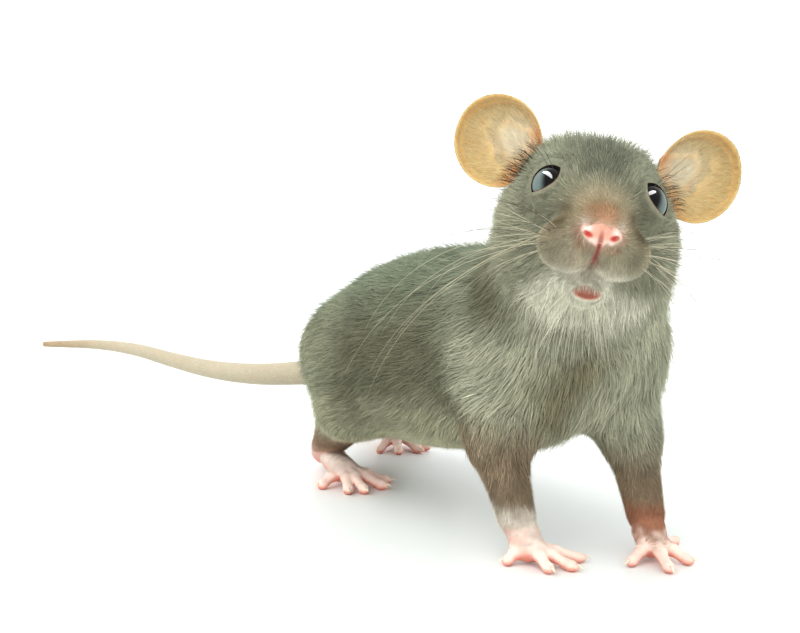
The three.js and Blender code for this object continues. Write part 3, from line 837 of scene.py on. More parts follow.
def mesh_points(thing):
    """An object's points, back in the rat's frame."""
    points = np.empty(len(thing.data.vertices) * 3, np.float32)
    thing.data.vertices.foreach_get("co", points)
    return points.reshape(-1, 3).astype(float) * 1000 + ORIGIN


def set_tint(thing, colours):
    tint = thing.data.color_attributes.new("tint", "FLOAT_COLOR", "POINT")
    tint.data.foreach_set("color", single(np.concatenate([colours, np.ones((len(colours), 1))], 1)))


# ---------------------------------------------------------------- colours, the same for skin and coat

def linear(*srgb):
    c = np.array(srgb, float) / 255
    return np.where(c <= 0.04045, c / 12.92, ((c + 0.055) / 1.055) ** 2.4)


FUR = {name: linear(*srgb) for name, srgb in {
    "rump": (146, 148, 122), "back": (121, 130, 108), "flank": (108, 107, 86), "belly": (184, 182, 152),
    "chest": (176, 176, 151), "chest_shade_band": (138, 130, 101), "crown": (144, 147, 124),
    "brow": (156, 156, 132), "muzzle": (166, 152, 122), "pad": (206, 186, 156),
    "bridge": (158, 110, 70), "pad_edge_light": (196, 190, 166),
    "smudge": (84, 70, 48), "cleft": (136, 66, 56), "nose_red": (184, 104, 66), "nose_edge_highlight": (250, 232, 220),
    "lip": (240, 232, 212), "bib": (230, 227, 204), "cheek": (149, 149, 125), "foreleg": (142, 120, 96),
    "shank": (150, 116, 94), "wrist": (228, 216, 200), "red_wrist": (156, 106, 82),
    "foot_top": (206, 168, 146), "ear_edge": (62, 44, 30),
    "ear_hair": (255, 232, 172), "ear_hair_dark": (218, 170, 102),
    "ear_hair_light": (255, 242, 212), "ear_hair_rim": (226, 196, 140), "short_hair": (246, 234, 220),
}.items()}
BARE = {name: linear(*srgb) for name, srgb in {
    "nose": (224, 160, 140), "nostril_highlight": (252, 228, 216), "nostril": (176, 50, 38),
    "groove": (132, 50, 44),
    "paw": (244, 214, 200), "between": (226, 116, 90), "mouth": (172, 104, 88), "lid": (22, 19, 18),
    "ear": (246, 222, 180), "ear_outer": (204, 168, 106), "ear_fold_shade": (206, 158, 96),
    "ear_base": (196, 104, 50), "ear_rim": (214, 182, 122), "tail": (180, 168, 144),
    "tail_tip": (160, 136, 104), "under": (150, 120, 102),
}.items()}
# Soft spots on the left half of the face: their colour, their middle, their reach and how strong they are.
# Pale patches at the outer and lower edges of each whisker pad: a pale fringe of hair, and painted light over
# the shade at the pad's edge.
PAD_EDGE_LIGHTS = [
    (FUR["pad_edge_light"], (8.8, -17.0, -8.2), (1.9, 3.4, 3.4), 0.75),
    (FUR["pad_edge_light"], (6.8, -18.5, -11.2), (3.0, 4.0, 1.5), 0.8),
]
SMUDGES = [
    (FUR["smudge"], (6.0, -20.0, -4.4), (1.8, 3.4, 2.0), 1.0),
    (FUR["smudge"], (5.0, -17.8, -2.4), (1.3, 3.0, 1.1), 0.9),
    (FUR["smudge"], (5.2, -22.2, -8.2), (1.7, 2.8, 1.5), 0.8),
]
BRIDGE = [(FUR["bridge"], (0.3, -22.6, -2.2), (2.3, 2.6, 1.5), 0.9)]
# Reddish fur over the nose, and a near-white painted highlight at the top of each nose lobe.
NOSE_RED_AND_HIGHLIGHT = [
    (FUR["nose_red"], (0.3, -24.6, -3.2), (1.7, 2.2, 0.9), 0.9),
    (FUR["nose_edge_highlight"], (2.4, -23.9, -4.3), (0.5, 1.2, 0.9), 0.6),
]
# Near-white patches around each nostril: painted highlight on the wet lobes of the nose.
NOSTRIL_HIGHLIGHTS = [
    (BARE["nostril_highlight"], (1.3, -24.9, -6.7), (1.0, 1.2, 0.55), 0.85),
    (BARE["nostril_highlight"], (2.5, -24.2, -5.9), (0.55, 1.2, 0.9), 0.85),
    (BARE["nostril_highlight"], (2.1, -24.6, -4.8), (0.6, 1.2, 0.7), 0.85),
]
# Two darker spots on the crown: painted shade where its hair parts, damping the light on top of the head.
CROWN_SHADE_SPOTS = ((-0.6, -7.5, 8.6), (5.2, 6.4, 3.6), 1), ((-0.5, -12.8, 5.4), (4.8, 5.0, 3.8), 1)
# Pale spots in the brow's colour: pale fur over each eye, and painted light in the hollow under it where
# shade falls.
BROW_AND_SOCKET_LIGHT = (
    ((5.6, -12.5, 5.6), (2.6, 2.6, 2.4), 0.6), ((6.9, -13.0, -3.4), (3.6, 3.0, 2.6), 1),
    ((9.8, -8.0, -3.4), (2.6, 4.0, 2.6), 0.8),
)


def mixed(a, b, share):
    return a + (b - a) * np.asarray(share)[:, None]


def waves(p, size, seed, count=9):
    """A smooth random number for each point, about -1 to 1, that changes over `size` millimetres."""
    draw = np.random.default_rng(seed)
    ways = draw.normal(size=(count, 3))
    ways *= (draw.uniform(0.6, 1.5, count) / np.linalg.norm(ways, axis=1))[:, None] * 2 * np.pi / (size * 2)
    total = np.zeros(len(p))
    for way, phase in zip(ways, draw.uniform(0, 2 * np.pi, count)):
        total += np.sin(p @ way + phase)
    return total / math.sqrt(count) * 1.2


def near(p, centre, reach):
    """1 at the centre, falling smoothly to 0 at about twice the reach."""
    return np.exp(-(((p - centre) / reach) ** 2).sum(1))


def summed(p, spots):
    """Soft spots added up."""
    return sum(near(p, centre, reach) * amount for centre, reach, amount in spots)


def marked(colour, p, marks, scale=1):
    """The colour with soft marks over it."""
    for shade, centre, reach, amount in marks:
        colour = mixed(colour, shade, near(p, centre, reach) * amount * scale)
    return colour


def on_head(h, high):
    """1 on the head, falling to 0 at `high` millimetres from its middle."""
    return fall(distance((h - (0, -4, -2)) / (1, 1.15, 1.1)), 15, high)


def line_share(p, ends, reach):
    return np.exp(-(capsule(p, *ends) / reach) ** 2)


def trunk_colour(p, n):
    # Paler where the coat faces up: painted light from above.
    colour = mixed(FUR["flank"], FUR["back"], ramp(n[:, 2], 0.1, 0.9))
    # Paler on the sides of the rump: painted light.
    rump = ramp(p[:, 1], 10, 30) * fall(n[:, 2], 0.3, 0.9) * ramp(p[:, 2], 12, 22)
    colour = mixed(colour, FUR["rump"], rump)
    below = np.maximum(ramp(-n[:, 2], 0.2, 0.9), 0.75 * ramp(-p[:, 2], -27, -15))
    colour = mixed(colour, FUR["belly"], below)
    front = ramp(-p[:, 1], 14, 32) * ramp(-n[:, 1], -0.3, 0.4)
    colour = mixed(colour, FUR["chest"], front)
    # A darker band down the middle of the chest: painted shade, where the sides of the chest catch a sheen.
    line = np.exp(-((p[:, 0] + 9.5) / 4.0) ** 2) * ramp(p[:, 2], 22, 28) * fall(p[:, 2], 38, 42)
    return mixed(colour, FUR["chest_shade_band"], front * line * 0.85)


def face_colour(p, h):
    m = folded(h)
    face = mixed(FUR["cheek"], FUR["crown"], ramp(m[:, 2], -2, 6))
    # painted shade on the crown
    face = mixed(face, FUR["crown"] * 0.42, np.minimum(0.85, summed(h, CROWN_SHADE_SPOTS)))
    # pale brow fur, and painted light in the hollows under the eyes
    face = mixed(face, FUR["brow"], np.minimum(1, summed(m, BROW_AND_SOCKET_LIGHT)))
    face = mixed(face, FUR["muzzle"], ramp(-m[:, 1], 12.0, 20.0) * (1 - 0.5 * ramp(m[:, 2], 1, 4)))
    face = mixed(face, FUR["pad"], near(h, (-3.0, -22.5, -9.6), (3.6, 4.0, 2.8)))
    # a pale fringe, and painted light at the edges of the pads
    face = marked(face, m, PAD_EDGE_LIGHTS)
    face = marked(face, m, SMUDGES, np.where(h[:, 0] > 0, 1.0, 0.8))
    face = marked(face, m, BRIDGE)
    rim = fall(ellipsoid(m, *NOSE_PAD), 0.2, 1.3)
    face = mixed(face, BARE["nose"] * 0.85, rim * 0.8 * ramp(-m[:, 2], 3.0, 4.5))
    # reddish fur, and a painted highlight on the nose lobes
    face = marked(face, m, NOSE_RED_AND_HIGHLIGHT)
    face = mixed(face, FUR["nose_red"], line_share(m, (*NOSTRIL_CREASE, 0, 0), 0.45) * 0.7)
    face = mixed(face, FUR["ear_edge"] * 2.2, ear_root_share(p) * 0.45)
    face = mixed(face, FUR["lip"], np.minimum(1, 1.3 * near(h, (1.6, -18.0, -12.7), (8.0, 8.0, 2.3))))
    # Lip colour carried up between the pads under the nose: pale hair there, and painted light over the shade
    # in the crease.
    face = mixed(face, FUR["lip"], 0.75 * near(h, (0.5, -19.5, -11.6), (1.9, 3.5, 1.2)))
    face = mixed(face, FUR["cleft"], 0.9 * fall(cleft_gap(m), 0.1, 0.8) * ramp(m[:, 2], -11.0, -9.0))
    inside = fall(ellipsoid(h, MOUTH_AT, MOUTH_HALF + (0, 1, 0)), 0.0, 0.5)
    return mixed(face, BARE["mouth"] * 0.9, inside * 0.8)


def fur_colour(p, n):
    h = to_head(p)
    colour = mixed(trunk_colour(p, n), face_colour(p, h), on_head(h, 22))
    bib = ramp(-h[:, 2], 10.8, 13.6) * fall(np.abs(h[:, 0] - 2.6), 7.6, 11.6) * fall(h[:, 1], -1, 4)
    colour = mixed(colour, FUR["bib"], bib * 0.9 * fall(-h[:, 2], 17.5, 21.5))

    for side in reversed(SIDES):
        leg = LEGS["fore", side]
        top, wrist = ((18, 34), "wrist") if side == "right" else ((13, 25), "red_wrist")
        close = fall(capsule(p, leg["middle"], leg["end"], 6.4, 4.6), 0, 4)
        colour = mixed(colour, FUR["foreleg"], close * fall(p[:, 2], *top) * 0.9)
        colour = mixed(colour, FUR[wrist], close * fall(p[:, 2] + 0.5 * waves(p, 1.5, 64), 8.0, 12.0))
    for side in reversed(SIDES):
        leg = LEGS["hind", side]
        close = fall(capsule(p, leg["middle"], leg["end"], 6.0, 4.6), 0, 4)
        colour = mixed(colour, FUR["shank"], close * fall(p[:, 2], 9, 17) * 0.85)
        gap = distance(p - leg["end"], (0, -5, 0))
        colour = mixed(colour, FUR["foot_top"], fall(gap, 8, 11) * fall(p[:, 2], 6.5, 9.5))
    tone = 1 + 0.07 * waves(p, 14, 3) + 0.06 * waves(p, 4, 4)
    return colour * np.clip(tone, 0.6, 1.5)[:, None]


def bareness(p):
    """How bare the skin is, from 0 under the coat to 1 on the feet, tail, ears, nose, lids and mouth."""
    m = mirrored_head(p)
    nose = fall(ellipsoid(m, *NOSE_PAD) + 0.12 * waves(p, 0.7, 61), 0.0, 0.5)
    lid = fall(slit_edge(m), 0.1, 0.35) * (distance(m, EYE_AT) < EYE_RADIUS + 1.2)
    groove = fall(cleft_gap(m) - 0.03 * (m[:, 2] + 7), 0.22, 0.42)
    mouth = 0.96 * fall(ellipsoid(to_head(p), MOUTH_AT, MOUTH_HALF + (0, 1, 0)), -0.2, 0.25)
    return np.maximum.reduce([nose, lid, groove, mouth, foot_share(p), tail_share(p), ear_share(p)])


def foot_share(p):
    share = np.zeros(len(p))
    edge = p[:, 2] + 0.4 * waves(p, 1.3, 63)
    for foot, height in FOOT_TOP.items():
        close = fall(foot_shape(p, foot), 0.5, 1.6)
        share = np.maximum(share, close * fall(edge, height - 4.0, height))
    return share


def tail_share(p):
    start = tail_point(TAIL_START * 0.45)
    way = tail_point(TAIL_START) - start
    gap, _ = tail_place(p)
    return ramp((p - start) @ way / np.linalg.norm(way), 0, 5) * fall(gap, 5, 8)


def tail_place(p):
    """Each point's distance from the tail's course, and its share along it."""
    gap, where = np.full(len(p), 1e9), np.zeros(len(p))
    for at, run in zip(TAIL_AT[::4], TAIL_RUN[::4]):
        d = distance(p, at)
        closer = d < gap
        gap[closer], where[closer] = d[closer], run / TAIL_RUN[-1]
    return gap, where


def in_ear(p):
    """Points in the left ear's own frame, u and w as shares of its size and y towards its back."""
    q = (mirrored_head(p) - EAR["base"]) @ EAR_TURN
    return (q[:, 0] + EAR["rise"]) / EAR["width"], q[:, 1], (q[:, 2] - EAR["reach"]) / EAR["length"]


def ear_share(p):
    u, y, w = in_ear(p)
    share = np.hypot(u, w)
    sheet = EAR["cup"] * (1 - share ** 2) - ear_relief(u, w, share)
    clear = ramp(head_shape(to_head(p)) + coat_depth(p), 0.15, 1.6)
    return fall(share, 1.04, 1.12) * clear * fall(np.abs(y - sheet), 0.6, 1.1)


def ear_root_share(p):
    """1 on the furred skin in front of the root of each ear, where long dark hair points into its hollow."""
    u, y, w = in_ear(p)
    close = fall(np.hypot(u * 1.1, w), 1.1, 1.35) * fall(np.abs(y + 2.6), 2.4, 3.6)
    return close * (ear_share(p) < 0.5) * ramp(-y, -2.0, -0.5)


def lid_share(m):
    """1 on the dark rims of the lids, for points of the head's frame folded to the left."""
    return (distance(m, EYE_AT) < EYE_RADIUS + 1.4) * fall(slit_edge(m), 0.05, 0.22)


def ear_colour(p):
    """The bare skin of an ear: cream in the hollow, golden outside, orange at both ends of its base."""
    u, _, w = in_ear(p)
    share = np.hypot(u, w)
    centre = np.exp(-((u + 0.28) / 0.46) ** 2 - ((w + 0.2) / 0.6) ** 2)
    ear = mixed(BARE["ear_outer"], BARE["ear"], np.clip(centre * 1.3, 0, 1))
    # Darker lines along the ridges in the hollow and along the groove under the rolled rim: painted shade in
    # the folds.
    folds = [np.exp(-(line_gap(u, w, a, b) / 0.075) ** 2) for a, b, _, _ in EAR_RIDGES]
    ear = mixed(ear, BARE["ear_fold_shade"], np.maximum.reduce(folds) * 0.5)
    rim_groove_shade = np.exp(-((share - 0.84) / 0.06) ** 2) * ramp(-u, 0.0, 0.5)
    ear = mixed(ear, BARE["ear_fold_shade"], rim_groove_shade * 0.7)
    ear = mixed(ear, BARE["ear_base"], fall(w, -0.8, -0.2) * (0.45 + 0.55 * ramp(np.abs(u + 0.1), 0.15, 0.6)))
    ear = mixed(ear, BARE["ear_rim"], ramp(share, 0.93, 1.0))
    return ear * (1 + 0.025 * waves(p, 2.5, 8) + 0.03 * waves(p, 0.8, 9))[:, None]


def nose_colour(m):
    """The bare nose, with the folded points of the head's frame."""
    bare = mixed(BARE["under"], BARE["nose"], fall(ellipsoid(m, NOSE_PAD[0], vec(4, 4, 4)), 0, 1.5))
    # painted highlight around the nostrils
    bare = marked(bare, m, NOSTRIL_HIGHLIGHTS)
    bare = mixed(bare, BARE["groove"], line_share(m, (*NOSTRIL_CREASE, 0.1, 0.1), 0.35) * 0.6)
    cleft = np.minimum(capsule(m, *PHILTRUM, 0.16, 0.3), cleft_gap(m) - 0.16)
    bare = mixed(bare, BARE["groove"], fall(cleft, 0.0, 0.3) * 0.95)
    return mixed(bare, BARE["nostril"], fall(capsule(m, *NOSTRIL), 0.0, 0.3))


def skin_colour(p, n):
    """The skin's colour everywhere: the coat's markings, deepened, and bare skin where there is no coat."""
    m = mirrored_head(p)
    bare = nose_colour(m)
    in_mouth = fall(ellipsoid(to_head(p), MOUTH_AT, MOUTH_HALF + (0.2, 1, 0.2)), 0.0, 0.9)
    bare = mixed(bare, BARE["mouth"], in_mouth)
    bare = mixed(bare, BARE["lid"], lid_share(m))
    bare = mixed(bare, ear_colour(p), ear_share(p))
    # Redder and darker where the paw's skin faces sideways and down: painted shade between and under the
    # toes.
    foot = mixed(BARE["paw"], BARE["between"], ramp(-n[:, 2], -0.35, 0.6) * 0.8)
    foot = foot * (1 + 0.05 * waves(p, 1.6, 10))[:, None]
    bare = mixed(bare, foot, foot_share(p))
    tail = mixed(BARE["tail"], BARE["tail_tip"], ramp(tail_place(p)[1], 0.72, 1.0))
    bare = mixed(bare, tail, tail_share(p))
    return np.clip(mixed(fur_colour(p, n) * 0.75, bare, bareness(p)), 0.002, 1)


# ---------------------------------------------------------------- the lie of the coat

def toward_tail(p):
    """The direction along the spine, towards the tail."""
    total = np.zeros((len(p), 3))
    for at, girth, way in zip(SPINE_AT, SPINE_GIRTH, unit(-np.gradient(SPINE_AT, axis=0))):
        gap = distance(p, at) - girth * 0.3
        total += way * np.exp(-np.clip(gap, 0, None) / 3.0)[:, None]
    return unit(total)


def along_skin(way, n):
    return unit(way - (way * n).sum(1)[:, None] * n)


def mirror_back(way, h):
    """A way for the left half of the head's frame, flipped where the point is on the right."""
    return way * np.stack([np.where(h[:, 0] < 0, -1, 1), *np.ones((2, len(h)))], 1)


def ear_way(h, *way):
    """A way in the ear's own frame, turned into the rat's."""
    return unit(mirror_back(np.stack(way, 1) @ EAR_TURN.T, h)) @ HEAD_TURN.T


def head_lie(h):
    from_nose = unit(h - (0, -23.5, -4.5)) + (0, 0.35, 0)
    from_nose[:, 2] -= 0.5 * ramp(-h[:, 2], 8, 14)
    from_nose[:, 0] += np.sign(h[:, 0]) * 0.7 * fall(cleft_gap(h), 0.4, 1.4) * ramp(h[:, 2], -10.5, -9)
    return unit(from_nose) @ HEAD_TURN.T


def leg_lie(p, way):
    """The way of the hair, turned down the legs."""
    for side in reversed(SIDES):
        leg = LEGS["fore", side]
        down = unit((leg["end"] - leg["top"])[None]) + (0, 0.25, 0)
        way = mixed(way, down, fall(leg_shape(p, "fore", leg), -1, 4) * fall(p[:, 2], 20, 36))
    for side in reversed(SIDES):
        leg = LEGS["hind", side]
        down = unit((leg["end"] - leg["middle"])[None] * (1, 1, 1.6))
        close = fall(capsule(p, leg["middle"], leg["end"], 7.5, 3.6), -1, 4)
        way = mixed(way, down, close * fall(p[:, 2], 14, 24))
    return way


def coat_lie(p, n):
    """The way the hair lies along the skin at each point."""
    h = to_head(p)
    way = unit(toward_tail(p) + (0, 0, -0.3))
    way = mixed(way, head_lie(h), fall(h[:, 1], 2, 16) * fall(distance(h), 20, 30))
    way = leg_lie(p, way)
    m = folded(h)
    along, across, _ = in_eye(m)
    clear = unit(along[:, None] * SLIT_ALONG * 0.5 + across[:, None] * SLIT_ACROSS)
    lids = fall(np.where(distance(m, EYE_AT) < EYE_RADIUS + 3, slit_edge(m), 9), 0.8, 2.6)
    way = mixed(way, mirror_back(clear, h) @ HEAD_TURN.T, lids)
    wander = np.stack([waves(p, 9, 21 + i) * 0.22 + waves(p, 2.6, 31 + i) * 0.13 for i in range(3)], 1)
    way = unit(way) + wander
    u, _, w = in_ear(p)
    way = mixed(way, ear_way(h, 0.4 * u, np.full_like(u, -0.2), np.ones_like(u)), ear_root_share(p))
    way = mixed(way, ear_way(h, u, np.zeros_like(u), w + 0.9), ear_share(p))
    way = mixed(way, unit((tail_point(0.6) - tail_point(0.1))[None]), tail_share(p))
    return along_skin(way, n)


# ---------------------------------------------------------------- the coat

TUFT_PATCH = 0.0015  # half the width of a tuft's patch on the map of the skin
COAT_PIECES = 9
BEND_FROM = 2.4  # longer tufts are curved
EAR_RIM = 0.93


def coat_density(p, bare):
    """Tufts for each square millimetre of skin."""
    h = to_head(p)
    head = on_head(h, 24)
    density = 10.5 + 9.0 * head + 17.0 * (ramp(-h[:, 1], 4, 16) * head)
    density = density + 9 * fall(coat_depth(p), 0.6, 2.0) * (1 - head)
    density = density * (1 + 0.3 * (ramp(h[:, 2], 4, 8) * ramp(h[:, 1], -13, -9) * head))
    _, _, w = in_ear(p)
    on_ear = ear_share(p) * 19.0 * (0.3 + 0.7 * ramp(w, -0.75, -0.25))
    sparse = np.maximum.reduce([on_ear, foot_share(p) * 12.0 * ramp(p[:, 2], 2.5, 5.0), tail_share(p) * 1.3])
    return np.where(bare > 0.5, sparse, (density + sparse) * (1 - bare))


def spread_on(points, tris, density):
    """Spots spread evenly over triangles: which triangle each is on, and its weights for the corners."""
    a, b, c = (points[tris[:, i]] for i in range(3))
    area = np.linalg.norm(np.cross(b - a, c - a), axis=1) / 2
    total = np.cumsum(area * density)
    count = int(total[-1])
    marks = (np.arange(count) + rng.uniform(0, 1, count)) * total[-1] / count
    on = np.minimum(np.searchsorted(total, marks), len(tris) - 1)
    r, s = np.sqrt(rng.uniform(0, 1, count)), rng.uniform(0, 1, count)
    return on, np.stack([1 - r, r * (1 - s), r * s], 1)


def tuft_roots(points, tris, corner_uv):
    """Where the tufts grow: on the skin, its normal there, and the spot on its map."""
    bare = in_chunks(bareness, points)[tris].mean(1)
    on, weights = spread_on(points, tris, in_chunks(coat_density, middles(points, tris), bare))
    corners, weights = tris[on], weights[:, :, None]
    root = (points[corners] * weights).sum(1)
    normal = unit((vertex_normals(points, tris)[corners] * weights).sum(1))
    spot = (corner_uv[on] * weights).sum(1)
    u, _, w = in_ear(root)
    at_rim = (ear_share(root) > 0.5) & (np.hypot(u, w) > EAR_RIM)
    keep = (root[:, 2] > 0.8) & ~(at_rim & (rng.uniform(0, 1, len(root)) < 0.8))
    return root[keep], normal[keep], spot[keep]


def times(chosen, factor):
    return np.where(chosen, factor, 1)


def size_tufts(t):
    """Gives the tufts their length, rise over the skin, width and lie."""
    n = len(t.root)
    h = to_head(t.root)
    depth = in_chunks(coat_depth, t.root)
    t.length = (0.5 + 1.95 * depth) * rng.uniform(0.7, 1.2, n)
    t.rise = depth * rng.uniform(0.5, 1.0, n) * (1 + 0.25 * ramp(-t.normal[:, 2], 0.2, 0.8))
    t.guard = rng.uniform(0, 1, n) < 0.05
    t.width = (0.078 + 0.036 * depth) * rng.uniform(0.8, 1.2, n)
    spiky = rng.uniform(0, 1, n) < 0.12 * ramp(h[:, 2], 5, 8) * fall(distance(h), 18, 21)
    fuzz = rng.uniform(0, 1, n) < 0.16
    t.length *= times(t.guard, 1.4) * times(spiky, 1.3)
    t.rise *= times(t.guard, 1.2) * times(spiky, 1.55) * times(fuzz, 1.25)
    t.rise += fuzz * 0.45 * np.minimum(depth, 1.5)
    t.width *= times(t.guard, 0.7) * times(spiky, 0.8) * times(fuzz, 0.55)
    for here, size, lift, thick in (
        (t.on_ear, 1.8, 0.2, 0.075), (t.on_tail, 1.1, 0.22, 0.06), (t.on_foot, 1.3, 0.18, 0.06),
    ):
        t.length = np.where(here, size * rng.uniform(0.6, 1.3, n), t.length)
        t.rise = np.where(here, lift * rng.uniform(0.6, 1.2, n), t.rise)
        t.width = np.where(here, thick, t.width)
    t.rise = np.minimum(t.rise, t.length * 0.8)
    t.length = t.length * np.sqrt(1 - (t.rise / t.length) ** 2)


def size_ear_hair(t):
    """Longer, stray hair in front of the ears' roots, and shorter hair towards their rims."""
    n = len(t.root)
    share = in_chunks(ear_root_share, t.root)
    t.length, t.rise = t.length * (1 - 0.4 * share), t.rise * (1 - 0.5 * share)
    t.ear_root = share * rng.uniform(0, 1, n) > 0.7
    reach = rng.uniform(1.4, 4.6, n)
    t.lie = along_skin(unit(t.lie + rng.normal(0, 0.35, (n, 3)) * t.ear_root[:, None]), t.normal)
    t.width = np.where(t.ear_root, 0.09, t.width)
    t.length = np.where(t.ear_root, reach * 0.62, t.length)
    t.rise = np.where(t.ear_root, reach * 0.78, t.rise)
    u, _, w = in_ear(t.root)
    out = np.hypot(u, w)
    t.length *= times(t.on_ear, 1 - 0.5 * ramp(out, 0.72, 0.92))
    t.at_rim = t.on_ear & (out > EAR_RIM)
    t.length, t.rise = np.where(t.at_rim, 0.6, t.length), np.where(t.at_rim, 0.12, t.rise)


def lower_tips(t):
    """Keeps the tips of the tufts as close to a curving skin as to a flat one."""
    furred = ~(t.on_ear | t.on_tail | t.on_foot | t.ear_root)
    t.drop = np.zeros(len(t.root))
    t.drop[furred] = in_chunks(plain_skin_shape, (t.root + t.lie * t.length[:, None])[furred])
    t.drop = np.clip(t.drop, -t.rise * 0.8, t.length * 0.5)


def colour_tufts(t):
    """Gives the tufts the colours of their roots and tips."""
    n = len(t.root)
    tone = in_chunks(fur_colour, t.root, t.normal)
    light = (np.exp(rng.normal(0, 0.22, n)) * (1 + 0.12 * waves(t.root, 1.6, 51)))[:, None]
    pale = t.guard | (rng.uniform(0, 1, n) < 0.07)
    tips = np.where(pale[:, None], tone * light * 1.35 + 0.01, tone * light)
    dark = rng.uniform(0, 1, n) < 0.18
    tips = tips * times(dark, 0.55)[:, None]
    u, _, w = in_ear(t.root)
    inner = np.exp(-((u + 0.15) / 0.45) ** 2 - ((w + 0.3) / 0.5) ** 2)
    ear_hair = mixed(FUR["ear_hair"], FUR["ear_hair_dark"], rng.uniform(0, 1, n) ** 1.4)
    ear_hair = mixed(ear_hair, FUR["ear_hair_light"], np.clip(inner * 1.2, 0, 1))
    x, y, z = t.root.T
    for chosen, colour in (
        (t.on_ear, ear_hair), (t.at_rim, FUR["ear_hair_rim"]), (t.ear_root, FUR["ear_edge"] * light),
        (t.on_tail | t.on_foot, FUR["short_hair"]),
        (t.on_foot & (z > 3.0) & (y < -30) & (x > -2), FUR["red_wrist"] * 1.5),
    ):
        tips = np.where(chosen[:, None], colour, tips)
    t.tips = tips
    t.base = np.where((t.on_ear | t.on_tail | t.on_foot | t.ear_root)[:, None], tips, tone)


# A tuft's pattern of triangles, and where its points are: along it, and across it.
CURVED = {
    "tris": [[0, 2, 1], [0, 3, 2], [0, 1, 3], [1, 2, 4], [2, 3, 4], [3, 1, 4]],
    "along": [0, 0.45, 0.45, 0.45, 1], "across": [0, -1, 1, 0, 0],
}
STRAIGHT = {
    "tris": [[0, 2, 1], [0, 1, 3], [1, 2, 3], [2, 0, 3]],
    "along": [0, 0, 0, 1], "across": [-1, 1, 0, 0],
}


def tuft_points(t, side, curved):
    """The corners of closed three-sided tufts; curved ones have a ring of three in the middle."""
    def ring(centre):
        corners = [centre - side * half, centre + side * half, centre + t.normal * half * 1.1]
        return np.stack(corners, 1)

    half, length, rise, drop = (a[:, None] for a in (t.width / 2, t.length, t.rise, t.drop))
    under = t.root - t.normal * np.minimum(0.25, 0.3 * rise)
    tip = t.root + t.lie * length + t.normal * (rise - drop)
    tip = tip + side * (length * rng.normal(0, 0.07, (len(t.root), 1)))
    if not curved:
        return np.concatenate([ring(under), tip[:, None]], 1)
    middle = t.root + t.lie * (length * 0.40) + t.normal * (rise * 0.66 - drop * 0.16)
    return np.concatenate([under[:, None], ring(middle), tip[:, None]], 1)


def tuft_mesh(name, t, curved):
    """One piece of the coat, with its tint, its spots on the skin's map, and normals like the skin's."""
    side = unit(np.cross(t.normal, t.lie))
    pattern = {key: np.array(value) for key, value in (CURVED if curved else STRAIGHT).items()}
    along, across = pattern["along"][None, :, None], pattern["across"][None, :, None]
    points = tuft_points(t, side, curved)
    n, k, _ = points.shape
    tris = (np.arange(n)[:, None, None] * k + pattern["tris"]).reshape(-1, 3)
    thing = mesh_object(name, points.reshape(-1, 3), tris)

    shade = t.base[:, None] * (1 - along) * 0.62 + t.tips[:, None] * along
    shade += t.base[:, None] * np.minimum(along, 1 - along) * 0.5
    set_tint(thing, shade.reshape(-1, 3))

    patch = t.spot[:, None] + np.concatenate([across, along * 2 - 1], 2) * TUFT_PATCH
    layer = thing.data.uv_layers.new(name="OFBake")
    layer.uv.foreach_set("vector", single(patch.reshape(-1, 2)[tris.ravel()]))

    lean = unit((points - points.mean(1, keepdims=True)).reshape(-1, 3)).reshape(n, k, 3)
    soft = t.normal[:, None] * 0.85 + lean * 0.25 + side[:, None] * across * 0.45 - t.lie[:, None] * 0.15
    thing.data.normals_split_custom_set_from_vertices(unit(soft.reshape(-1, 3)).astype(np.float32))
    return thing


def build_coat(points, tris, corner_uv):
    """The whole coat, cut into pieces from the nose to the tail."""
    root, normal, spot = tuft_roots(points, tris, corner_uv)
    shares = {f"on_{name}": in_chunks(share, root) > 0.5 for name, share in (
        ("ear", ear_share), ("tail", tail_share), ("foot", foot_share))}
    t = SimpleNamespace(root=root, normal=normal, spot=spot, lie=in_chunks(coat_lie, root, normal), **shares)
    for step in size_tufts, size_ear_hair, lower_tips, colour_tufts:
        step(t)
    curved = t.length > BEND_FROM
    order = np.argsort(root[:, 1] + 1e-3 * root[:, 2])
    run = np.cumsum(np.where(curved, len(CURVED["tris"]), len(STRAIGHT["tris"]))[order])
    pieces = []
    for i in range(COAT_PIECES):
        share = order[(run > run[-1] * i / COAT_PIECES) & (run <= run[-1] * (i + 1) / COAT_PIECES)]
        for is_curved, tag in ((True, "long"), (False, "short")):
            part = share[curved[share] == is_curved]
            tufts = SimpleNamespace(**{key: values[part] for key, values in vars(t).items()})
            pieces.append(tuft_mesh(f"coat_{i + 1}_{tag}", tufts, is_curved))
    return pieces


# ---------------------------------------------------------------- materials

